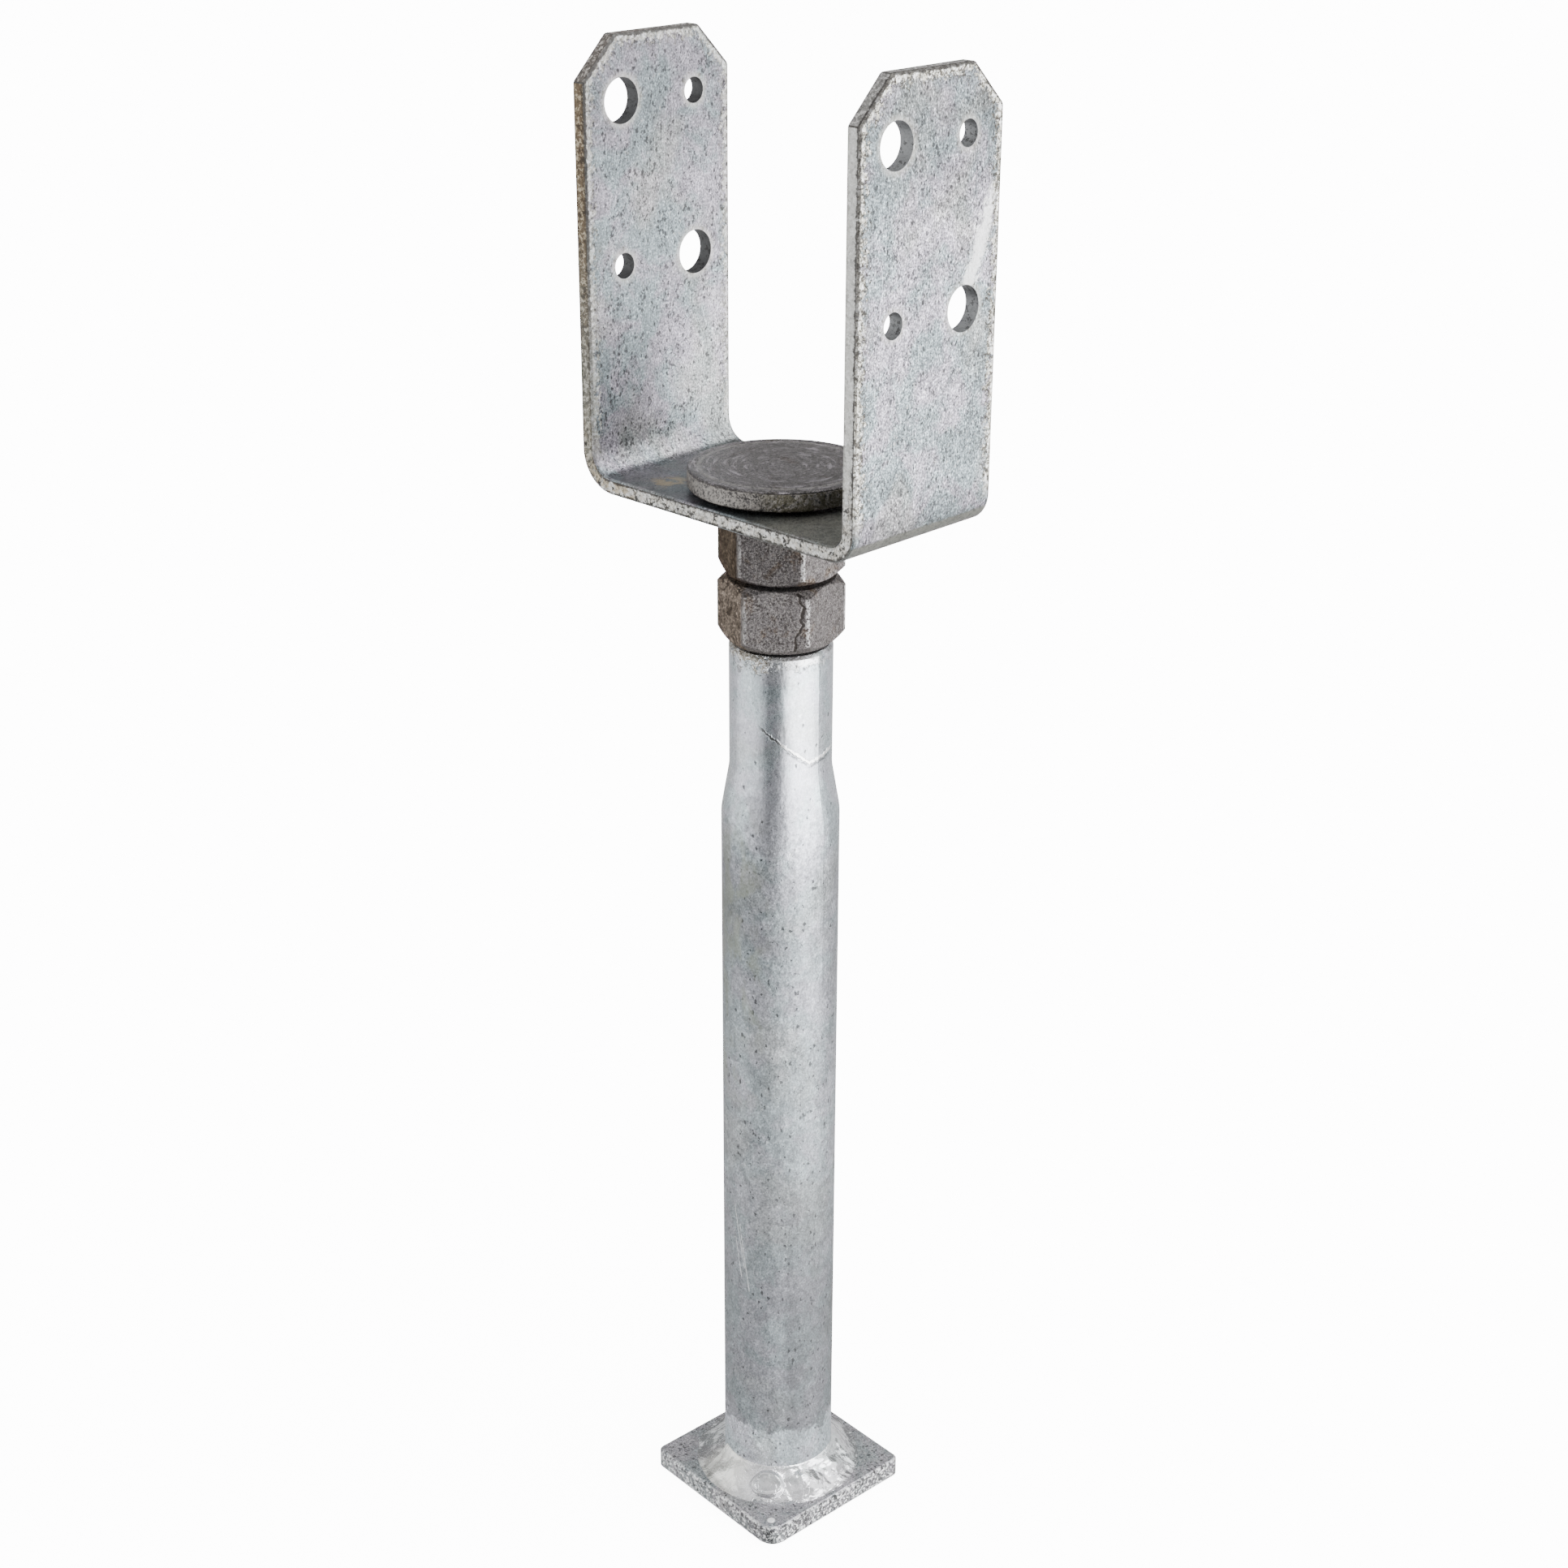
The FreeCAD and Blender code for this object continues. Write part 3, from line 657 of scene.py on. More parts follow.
def fork_material(zinc):
    """Finish of the fork: darker to the left with painted shade, with a broken crust and sheared edges."""
    material, graph, shader, place = new_material("galvanised_fork", 0.72)
    x, y, z = parts_of(graph, place)
    tint, rough, height = zinc_base(graph, place, zinc, graph.ramp(x, -40.0, 40.0, 1.1, 1.5), 0.45,
                                    graph.ramp(x, -40.0, 40.0, 0.42, 0.75))
    # A darker tone all over, and painted shade that darkens the left ear further, less so at its foot
    tone_and_shade = graph.ramp(x, 40.0, -48.0, 0.36, 0.51)
    foot = graph.ramp(graph.total(z, graph.product(y, -0.9)), 430.0, 395.0)
    tone_and_shade = graph.linear(graph.product(foot, graph.ramp(x, 0.0, -50.0)), -0.24, tone_and_shade)
    tint = darker(graph, tint, 1.0, tone_and_shade)
    tint = darker(graph, tint, 0.32, graph.ramp(z, 468.0, 500.0))
    # Painted shade low on the right bend
    tint = darker(graph, tint, 0.42, graph.ramp(z, 398.0, 388.0), graph.ramp(x, 45.0, 53.0))
    inset = edge_inset(graph, y, z)
    ragged = graph.noise(place, 0.5, 4.0, 0.72, 0.4)
    grains = graph.group(speckle(), vector=place, scale=0.85)
    tint = ear_marks(graph, tint, x, y, z, ragged, grains)
    tint = base_marks(graph, zinc, tint, place, x, y, z, inset, grains)
    tint, fringe = fork_crust(graph, zinc, tint, x, z, inset, ragged, grains)
    sheared = graph.ramp(inset, 0.10, 0.04)
    border = bar_depth(graph, x, z)
    tint = tinted(graph, tint, fork_edge_tint(graph, zinc, x, y, z, grains, ragged, border), sheared)
    tint = hole_marks(graph, zinc, tint, x, y, z, ragged, grains)
    roughness = graph.total(rough, graph.product(sheared, 0.15), 0.27)
    relief = graph.total(height, graph.product(grains["Height"], graph.total(fringe, sheared), 0.45),
                         graph.product(grains["Height"], 0.08))
    finish_shader(graph, shader, tint, roughness, relief)
    return material


def tube_tones(graph, tint, place, angle, z, level, dull, nearer):
    """The tube's broad tones: dull below its neck, painted shade left and low right, a painted light strip, a
    mossy patch.
    """
    to_left = graph.product(graph.ramp(angle, -55.0, -85.0), nearer,
                            graph.ramp(level, 215.0, 265.0, 0.15, 1.0))
    to_right = graph.product(graph.ramp(angle, -52.0, -28.0), nearer,
                             graph.ramp(level, 190.0, 100.0, 0.25, 1.0))
    # Darker below the neck, deeper to the left with painted shade
    tint = darker(graph, tint, 1.0, dull, graph.ramp(to_left, 0.0, 1.0, 0.42, 0.62))
    # Painted shade low on the right
    tint = darker(graph, tint, 0.40, dull, to_right)
    tint = darker(graph, tint, 0.16, graph.ramp(angle, -46.0, -30.0), nearer, graph.ramp(level, 290.0, 240.0))
    tint = darker(graph, tint, 0.32, graph.ramp(level, 200.0, 90.0))
    # A painted light strip down the front of the tube
    tint = lighter(graph, tint, 0.22, graph.between(angle, -63.0, -49.0, 6.0),
                   graph.between(level, 190.0, 272.0, 22.0))
    moss = graph.ramp(graph.noise(graph.stretched(place, 1, 1, 0.5, 12.0), 0.12, 3.0, 0.6, 0.4), 0.46, 0.62)
    moss = graph.product(moss, graph.ramp(angle, -45.0, -75.0), nearer, graph.between(z, 170.0, 275.0, 12.0))
    return tinted(graph, tint, MOSS, moss, 0.45)


def tube_drip(graph, tint, angle, z, wander):
    """The thin raised line round the cone, with a painted highlight right, painted shade left and a painted
    shadow under it.
    """
    drip = graph.total(graph.product(graph.higher(graph.minus(DRIP_ANGLE, angle), 0.0), 0.22),
                       graph.product(graph.higher(graph.total(angle, -DRIP_ANGLE), 0.0), 0.055),
                       graph.product(wander, 2.4), DRIP_LEVEL)
    past = graph.minus(z, drip)
    line = graph.ramp(graph.absolute(past), 0.85, 0.35)
    line = graph.product(line, graph.between(angle, -70.0, 28.0, 5.0))
    # A painted shadow under the raised line
    under = graph.between(past, -2.0, -1.0, 0.4)
    tint = darker(graph, tint, 0.65, under, graph.between(angle, -46.0, 24.0, 5.0),
                  graph.ramp(wander, 0.40, 0.52))
    # Painted highlight on the line's right part, painted shade on its left part
    drip_light_and_shade = graph.mix(graph.ramp(angle, -38.0, -50.0), (0.95, 0.95, 0.95), (0.10, 0.10, 0.10))
    return tinted(graph, tint, drip_light_and_shade, line, 0.9), line


def tube_crust(graph, zinc, tint, place, angle, z, wander, nearer):
    """The neck's rim: a broken crust with a painted shadow line under it, a painted dark reflection, and a
    bright arc, partly painted highlight.
    """
    rim = TUBE_HIGH.z / MM
    crust_edge = graph.linear(graph.noise(place, 0.35, 3.0, 0.7, 0.5), 22.0, z)
    on_left = graph.product(graph.ramp(angle, -52.0, -68.0), nearer)
    crust = graph.product(graph.ramp(crust_edge, rim + 7.6, rim + 8.4), graph.linear(on_left, 0.6, 0.4))
    # A painted dark reflection on the neck's left
    dark_reflection = graph.product(graph.between(angle, -88.0, -62.0, 8.0), graph.between(z, 276.0, 300.0, 8.0))
    broken = graph.ramp(graph.noise(graph.stretched(place, 1, 1, 0.7, 63.0), 0.35, 3.0, 0.6), 0.5, 0.62)
    tint = darker(graph, tint, 0.22, dark_reflection, broken)
    grains = graph.group(speckle(), vector=place, scale=1.0)
    crust_tint = graph.mix(grains["Light"], (0.34, 0.32, 0.27), zinc.bright)
    crust_tint = tinted(graph, crust_tint, zinc.brown, grains["Cracks"], 0.85)
    tint = tinted(graph, tint, crust_tint, crust, 0.85)
    # A painted shadow line under the crust
    crust_shadow = graph.between(crust_edge, rim + 6.4, rim + 7.4, 0.4)
    tint = darker(graph, tint, 0.75, crust_shadow, graph.ramp(wander, 0.44, 0.54),
                  graph.linear(on_left, 0.5, 0.5))
    # A bright arc under the rim, partly bright zinc and partly painted highlight
    bright_zinc_and_highlight = graph.product(graph.between(angle, -26.0, 0.0, 5.0),
                             graph.between(z, rim - 3.2, rim - 1.0, 0.5))
    tint = tinted(graph, tint, zinc.bright, bright_zinc_and_highlight, 0.8)
    return tint, graph.product(crust, grains["Height"], 0.6)


def tube_material(zinc):
    """Finish of the tube: bright on its neck, smeared and dull below, scratched low down."""
    material, graph, shader, place = new_material("galvanised_tube", 0.85)
    x, y, z = parts_of(graph, place)
    angle = graph.product(graph.math("ARCTAN2", y, x), 180 / math.pi)
    nearer = graph.ramp(graph.absolute(angle), 176.0, 130.0)
    wander = graph.noise(place, 0.6, 3.0, 0.6, 0.3)
    level = graph.linear(wander, 40.0, z)
    dull = graph.ramp(level, 306.0, 270.0)
    calm = graph.ramp(level, 270.0, 312.0, 1.0, 0.5)
    tint, rough, height = zinc_base(graph, place, zinc, graph.product(calm, 0.6), 0.5,
                                    graph.product(calm, 0.15))
    tint = graph.mix(1.0, greyer(graph, tint, 0.5), (0.95, 1.0, 1.03), "MULTIPLY")
    smeared = graph.stretched(warped(graph, place, 0.10, 16.0), 1, 1, 0.45, 27.0)
    smears = graph.noise(smeared, 0.20, 4.0, 0.65, 1.2)
    tint = darker(graph, tint, 0.26, graph.ramp(smears, 0.46, 0.62), calm)
    tint = lighter(graph, tint, 0.30, graph.ramp(smears, 0.42, 0.34), calm)
    tint = tube_tones(graph, tint, place, angle, z, level, dull, nearer)
    graph.put(shader.inputs["Metallic"], graph.ramp(level, 120.0, 300.0, 0.45, 0.9))
    foot_edge = graph.noise(place, 0.09, 3.0, 0.6, 0.4)
    foot_level = graph.total(z, graph.product(wander, 5.0), graph.product(foot_edge, 18.0))
    tint = lighter(graph, tint, 1.2, graph.ramp(foot_level, 43.5, 41.5))
    tint, line = tube_drip(graph, tint, angle, z, wander)
    for start, end in TUBE_SCRATCHES:
        scratch = segment_distance(graph, angle, z, start, end)
        scratch = graph.ramp(graph.linear(wander, 1.6, scratch), 1.5, 0.8)
        tint = tinted(graph, tint, zinc.bright, scratch, 0.5)
    tint, crust_relief = tube_crust(graph, zinc, tint, place, angle, z, wander, nearer)
    gloss = graph.total(graph.ramp(level, 60.0, 250.0, 0.30, 0.13), graph.product(dull, 0.20))
    runs = graph.noise(graph.stretched(place, 1, 1, 0.28, 31.0), 0.30, 2.0, 0.5, 0.3)
    relief = graph.total(graph.product(height, calm, calm), graph.product(runs, 0.14),
                         graph.product(line, 0.12), crust_relief)
    finish_shader(graph, shader, tint, graph.total(rough, gloss), relief)
    return material


def plate_material(zinc):
    """Finish of the foot plate: calm on top, coarse and pitted on its sheared sides."""
    material, graph, shader, place = new_material("galvanised_plate", 0.72)
    x, y, z = parts_of(graph, place)
    tint, rough, height = zinc_base(graph, place, zinc, 0.9, 0.55, 0.45)
    tint = greyer(graph, tint, 0.6)
    tint = darker(graph, tint, 0.40, 1.0)
    grains = graph.group(speckle(), vector=place, scale=0.85)
    top = PLATE_HIGH.z / MM
    tint = darker(graph, tint, 0.16, graph.ramp(z, top - 0.4, top - 0.1))
    side = graph.ramp(z, top - 0.15, top - 0.6)
    # Painted shade on the sheared sides, deepest on the right
    tint = darker(graph, tint, 0.68, side, graph.ramp(x, 0.0, 30.0, 0.5, 1.0))
    to_right = graph.ramp(graph.total(x, y), -12.0, 8.0, 0.4, 1.0)
    tint = tinted(graph, tint, zinc.bright, side, grains["Light"], 0.7)
    tint = tinted(graph, tint, SIDE_PIT, side, grains["Dark"], to_right, 0.9)
    tint = tinted(graph, tint, SIDE_CRACK, side, grains["Cracks"], to_right, 0.35)
    droplet = graph.ramp(distance_to(graph, x, y, PLATE_DROPLET), 1.7, 1.1)
    tint = tinted(graph, tint, WHITE, droplet, graph.ramp(z, top - 0.5, top - 0.2))
    rims = graph.product(graph.between(z, top - 0.9, top - 0.1, 0.2),
                         graph.ramp(grains["Height"], 0.46, 0.56))
    under_rim = graph.product(graph.between(z, top - 2.0, top - 1.2, 0.3),
                              graph.ramp(grains["Height"], 0.50, 0.44))
    tint = tinted(graph, tint, SIDE_PIT, under_rim, 0.75)
    tint = tinted(graph, tint, zinc.bright, rims, 0.45)
    foot = graph.product(graph.ramp(z, 1.3, 0.5), graph.ramp(grains["Height"], 0.40, 0.52))
    tint = tinted(graph, tint, zinc.pit, foot, 0.7)
    relief = graph.total(height, graph.product(grains["Height"], graph.total(side, 0.25), 0.30),
                         graph.product(droplet, 0.6))
    finish_shader(graph, shader, tint, graph.total(rough, 0.27), relief)
    return material


def weld_material(zinc):
    """Finish of the weld: smooth bright zinc, ivory in front, with a dark round drop."""
    material, graph, shader, place = new_material("weld_zinc", 0.88)
    x, y, z = parts_of(graph, place)
    tint, rough, height = zinc_base(graph, place, zinc, 0.22, 0.35, 0.02)
    tint = tinted(graph, tint, zinc.bright, 0.65)
    ivory = graph.ramp(distance_to(graph, x, y, IVORY_PATCH), 15.0, 7.0)
    tint = tinted(graph, tint, IVORY, ivory, 0.6)
    clouds = graph.noise(warped(graph, place, 0.15, 8.0), 0.16, 3.0, 0.6)
    tint = darker(graph, tint, 0.12, graph.ramp(clouds, 0.50, 0.38))
    veins = contour(graph, graph.noise(warped(graph, place, 0.2, 6.0), 0.22, 1.5, 0.5), 0.03)
    tint = darker(graph, tint, 0.10, veins, graph.ramp(clouds, 0.56, 0.46))
    drop = oval_distance(graph, x, y, WELD_DROP_TURN, WELD_DROP_REACH, *WELD_DROP_HALF)
    tint = darker(graph, tint, 0.28, graph.ramp(drop, 0.95, 0.80))
    # A dark ring round the drop, deepened on its left by painted shade
    ring = graph.product(graph.between(drop, 1.0, 1.12, 0.06),
                         graph.ramp(graph.total(x, y), -2.0, -6.0, 0.4, 1.0))
    tint = darker(graph, tint, 0.45, ring)
    # Painted shade along the toe, where the weld meets the plate
    toe = graph.ramp(z, WELD_LOW.z / MM + 1.4, WELD_LOW.z / MM + 0.3)
    tint = darker(graph, tint, 0.25, toe)
    relief = graph.total(graph.product(height, 0.25), graph.product(clouds, 0.6), graph.product(veins, -0.03))
    roughness = graph.total(graph.product(rough, 0.6), graph.product(ivory, 0.14), 0.05)
    finish_shader(graph, shader, tint, roughness, relief)
    return material


def forged_base(graph, place, dark, brown_share):
    """Forged steel under thin dull zinc: colour, height in millimetres, roughness and the grains."""
    patches = graph.noise(place, 0.13, 4.0, 0.6, 0.6)
    grains = graph.group(speckle(), vector=place, scale=1.5)
    fine = graph.noise(place, 1.9, 2.0, 0.7, 0.0)
    tint = graph.mix(graph.ramp(patches, 0.60 - brown_share, 0.72 - brown_share), dark.grey, dark.brown)
    shade = graph.math("EXPONENT", graph.linear(fine, 4.4, -2.2))
    tint = graph.mix(1.0, tint, shade, "MULTIPLY")
    tint = tinted(graph, tint, dark.light, grains["Light"], 0.40)
    tint = tinted(graph, tint, dark.dark, grains["Dark"], 0.6)
    height = graph.total(graph.product(grains["Height"], 0.22), graph.product(fine, 0.06))
    roughness = graph.total(graph.product(patches, 0.16), graph.product(grains["Height"], 0.16), 0.28)
    return tint, height, roughness, grains


def hexagon_material(name, dark, shade, brown_share, left_tint, right_painted_light, left_angle, seam_angle):
    """Finish of a hexagon: a brown face, a paler one with painted light, painted corner highlights, cracks
    and a forging seam.
    """
    left_turn = math.radians(left_angle)
    right_turn = left_turn + math.radians(120.0)
    seam_turn = math.radians(seam_angle)
    material, graph, shader, place = new_material(name, 0.55)
    graph.put(shader.inputs["Specular Tint"], GRAZING_BROWN)
    x, y, _ = parts_of(graph, place)
    tint, height, roughness, grains = forged_base(graph, place, dark, brown_share)
    # Painted shade over the whole hexagon, as under the fork
    tint = darker(graph, tint, shade, 1.0)
    radius = distance_to(graph, x, y, (0.0, 0.0))
    angle = graph.math("ARCTAN2", y, x)
    to_left = graph.ramp(graph.math("COSINE", graph.minus(angle, left_turn)), 0.86, 0.90)
    flow = graph.noise(graph.stretched(warped(graph, place, 0.06, 26.0), 1, 1, 0.25), 0.45, 1.5, 0.5)
    left_shade = graph.math("EXPONENT", graph.linear(grains["Height"], 9.0, -4.6))
    left_shade = graph.mix(1.0, left_tint, left_shade, "MULTIPLY")
    tint = tinted(graph, tint, left_shade, to_left, 0.95)
    graph.put(shader.inputs["Metallic"], graph.ramp(to_left, 0.0, 1.0, 0.55, 0.95))
    # Painted light on the right face
    to_far_right = graph.ramp(graph.math("COSINE", graph.minus(angle, right_turn)), 0.86, 0.90)
    tint = lighter(graph, tint, right_painted_light, to_far_right)
    tint = tinted(graph, tint, dark.dark, to_left, contour(graph, flow, 0.035), 0.7)
    wave = graph.noise(graph.stretched(place, 0.2, 0.2, 1), 0.16, 2.0, 0.5, 0.3)
    cracks = graph.noise(graph.stretched(place, 1, 1, 0.6, 5.0), 0.30, 3.0, 0.6, 1.2)
    cracks = contour(graph, cracks, 0.020)
    tint = tinted(graph, tint, dark.dark, cracks, 0.65)
    # Painted highlights on the corners, strongest to the right
    corner_highlight = graph.product(graph.ramp(radius, 20.2, 20.6), graph.ramp(grains["Height"], 0.46, 0.54))
    to_right = graph.ramp(graph.math("COSINE", graph.minus(angle, 0.35)), 0.3, 0.8, 0.25, 0.85)
    tint = tinted(graph, tint, CORNER_HIGHLIGHT, corner_highlight, to_right)
    seam = graph.total(angle, graph.linear(wave, 0.45, -0.14 - seam_turn))
    seam = graph.product(graph.ramp(graph.absolute(seam), 0.030, 0.012), graph.ramp(radius, 18.0, 18.4))
    tint = tinted(graph, tint, dark.dark, seam, 0.85)
    rougher = graph.product(height, graph.linear(to_left, 2.2, 1.0))
    relief = graph.total(rougher, graph.product(seam, -0.15), graph.product(cracks, -0.06))
    finish_shader(graph, shader, tint, roughness, relief)
    return material


def spindle_material(dark):
    """Finish of the spindle: its disc has turned rings, a pale rim and olive grime on its edge."""
    material, graph, shader, place = new_material("dark_spindle", 0.55)
    x, y, z = parts_of(graph, place)
    tint, height, roughness, grains = forged_base(graph, place, dark, 0.03)
    tint = darker(graph, tint, 0.50, 1.0)
    radius = distance_to(graph, x, y, (0.0, 0.0))
    top = SPINDLE_HIGH.z / MM
    reach = SPINDLE_HIGH.x / MM
    on_top = graph.ramp(z, top - 0.7, top - 0.4)
    round_place = graph.add("ShaderNodeCombineXYZ", inputs={
        "X": graph.math("DIVIDE", graph.product(x, 2.2), graph.total(radius, 0.01)),
        "Y": graph.math("DIVIDE", graph.product(y, 2.2), graph.total(radius, 0.01)),
        "Z": graph.product(radius, 0.9)}).outputs["Vector"]
    rings = graph.noise(round_place, 1.0, 3.0, 0.7, 0.3)
    swirl = graph.noise(graph.stretched(place, 1, 1, 1, 3.0), 0.22, 3.0, 0.6, 2.2)
    marks = graph.total(graph.ramp(rings, 0.56, 0.64), contour(graph, swirl, 0.022))
    tint = tinted(graph, tint, RING_GREY, marks, on_top, 0.65)
    tint = tinted(graph, tint, dark.dark, graph.ramp(rings, 0.42, 0.35), on_top, 0.6)
    rim = graph.product(graph.between(radius, reach - 4.6, reach - 3.2, 0.7), on_top,
                        graph.ramp(grains["Height"], 0.40, 0.52))
    tint = tinted(graph, tint, RIM_GREY, rim, 0.5)
    edge_level = graph.linear(grains["Height"], 1.6, z)
    crack = graph.product(graph.between(edge_level, top, top + 0.35, 0.12),
                          graph.ramp(radius, reach - 0.8, reach - 0.3))
    tint = tinted(graph, tint, dark.dark, crack, 0.8)
    on_side = graph.product(graph.ramp(z, top - 0.5, top - 0.9), graph.ramp(radius, reach - 1.0, reach - 0.5))
    tint = tinted(graph, tint, DISC_SIDE_GRAINS, on_side, graph.ramp(grains["Height"], 0.42, 0.56), 0.65)
    grime = graph.product(on_side, graph.ramp(graph.total(x, y), -14.0, -2.0), graph.ramp(swirl, 0.42, 0.52))
    tint = tinted(graph, tint, OLIVE_GRIME, grime, 0.7)
    relief = graph.total(height, graph.product(rings, on_top, 0.25), graph.product(crack, -0.12))
    finish_shader(graph, shader, tint, roughness, relief)
    return material


def dress(node, material):
    """Gives a CAD node its finish."""
    materials = frame["nodes"][node].data.materials
    materials.clear()
    materials.append(material)


# Meshes

def finished_piece(bm, name, material, body, crease):
    """Turns a bmesh into an object at the origin with its finish, on the body that carries it."""
    bmesh.ops.recalc_face_normals(bm, faces=bm.faces)
    mesh = bpy.data.meshes.new(name)
    bm.to_mesh(mesh)
    bm.free()
    mesh.shade_smooth()
    mesh.set_sharp_from_angle(angle=math.radians(crease))
    mesh.materials.append(material)
    piece = bpy.data.objects.new(name, mesh)
    bpy.context.scene.collection.objects.link(piece)
    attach(piece, body)
    return piece


def chain(bm, points):
    """Vertices in the XZ plane, joined by edges."""
    verts = [bm.verts.new((radius, 0.0, level)) for radius, level in points]
    edges = [bm.edges.new(pair) for pair in zip(verts, verts[1:])]
    return verts, edges


def spin_round(bm, outline, steps):
    """A full turn of an outline about the centre line."""
    verts, edges = chain(bm, outline)
    bmesh.ops.spin(bm, geom=verts + edges, cent=(0, 0, 0), axis=(0, 0, 1), angle=2 * math.pi, steps=steps,
                   use_merge=True)
    bmesh.ops.remove_doubles(bm, verts=bm.verts, dist=1e-6)


def add_thread(bm, major, pitch, low, high, steps):
    """A helical thread between two levels, cut off flat at both ends."""
    minor = major - 0.6134 * pitch
    root = pitch / 4
    crest = pitch / 8
    flank = (pitch - root - crest) / 2
    start = low - 2 * pitch
    turns = math.ceil((high - start) / pitch) + 1
    verts, edges = chain(bm, ((minor, start), (minor, start + root), (major, start + root + flank),
                              (major, start + root + flank + crest), (minor, start + pitch)))
    bmesh.ops.spin(bm, geom=verts + edges, cent=(0, 0, 0), axis=(0, 0, 1), dvec=(0, 0, pitch / steps),
                   angle=2 * math.pi * turns, steps=steps * turns, use_merge=False)
    bmesh.ops.remove_doubles(bm, verts=bm.verts, dist=1e-6)
    for level, side in ((low, -1), (high, 1)):
        bmesh.ops.bisect_plane(bm, geom=bm.verts[:] + bm.edges[:] + bm.faces[:], plane_co=(0, 0, level),
                               plane_no=(0, 0, side), clear_outer=True)


def open_rim(bm, level):
    """Boundary edges that lie at a level."""
    return [edge for edge in bm.edges
            if edge.is_boundary and all(abs(vert.co.z - level) < 1e-6 for vert in edge.verts)]


def make_spindle(sizes, material):
    """The threaded spindle and its disc, as one closed shell."""
    major = sizes.thread_diameter / 2
    low = SPINDLE_LOW.z
    top = SPINDLE_HIGH.z
    seat = top - sizes.disc_thickness
    reach = SPINDLE_HIGH.x
    thread_top = seat - sizes.collar
    bm = bmesh.new()
    add_thread(bm, major, sizes.thread_pitch, low, thread_top, sizes.thread_steps)
    for vert in bm.verts:
        limit = major - max(low + sizes.tip_chamfer - vert.co.z, 0.0)
        radius = math.hypot(vert.co.x, vert.co.y)
        if radius > limit:
            vert.co.x *= limit / radius
            vert.co.y *= limit / radius
    bmesh.ops.contextual_create(bm, geom=open_rim(bm, low))
    rim = sizes.disc_rim
    ring = reach - sizes.ring_inset
    crown = top - 0.25 * sizes.ring_depth
    outline = [(major, thread_top + 0.3 * sizes.collar), (major, seat)]
    outline += [(reach - rim, seat)]
    outline += [(reach - rim + rim * math.sin(turn), seat + rim - rim * math.cos(turn))
                for turn in (math.pi / 6, math.pi / 3, math.pi / 2)]
    outline += [(reach - rim + rim * math.cos(turn), top - rim + rim * math.sin(turn))
                for turn in (0, math.pi / 6, math.pi / 3, math.pi / 2)]
    outline += [(ring + 2 * rim, top), (ring + 0.6 * rim, crown), (ring, top - sizes.ring_depth),
                (ring - 0.6 * rim, crown), (ring - 3 * rim, top), (0.5 * ring, top - 0.5 * sizes.ring_depth),
                (0.0, top - sizes.ring_depth)]
    spin_round(bm, outline, sizes.disc_steps)
    bmesh.ops.bridge_loops(bm, edges=open_rim(bm, thread_top) + open_rim(bm, thread_top + 0.3 * sizes.collar))
    piece = finished_piece(bm, "threaded_spindle", material, "spindle", 32.0)
    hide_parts("spindle")
    return piece


def weld_height(sizes, angle):
    """Height of the bead round the tube, as a share: thinner where the weld was started."""
    start = math.radians(-118.0)
    past = (angle - start) % (2 * math.pi)
    thin = math.radians(70.0)
    if past > 2 * math.pi - thin:
        return sizes.low_share + 0.1 * math.sin(3 * past)
    return 1.0


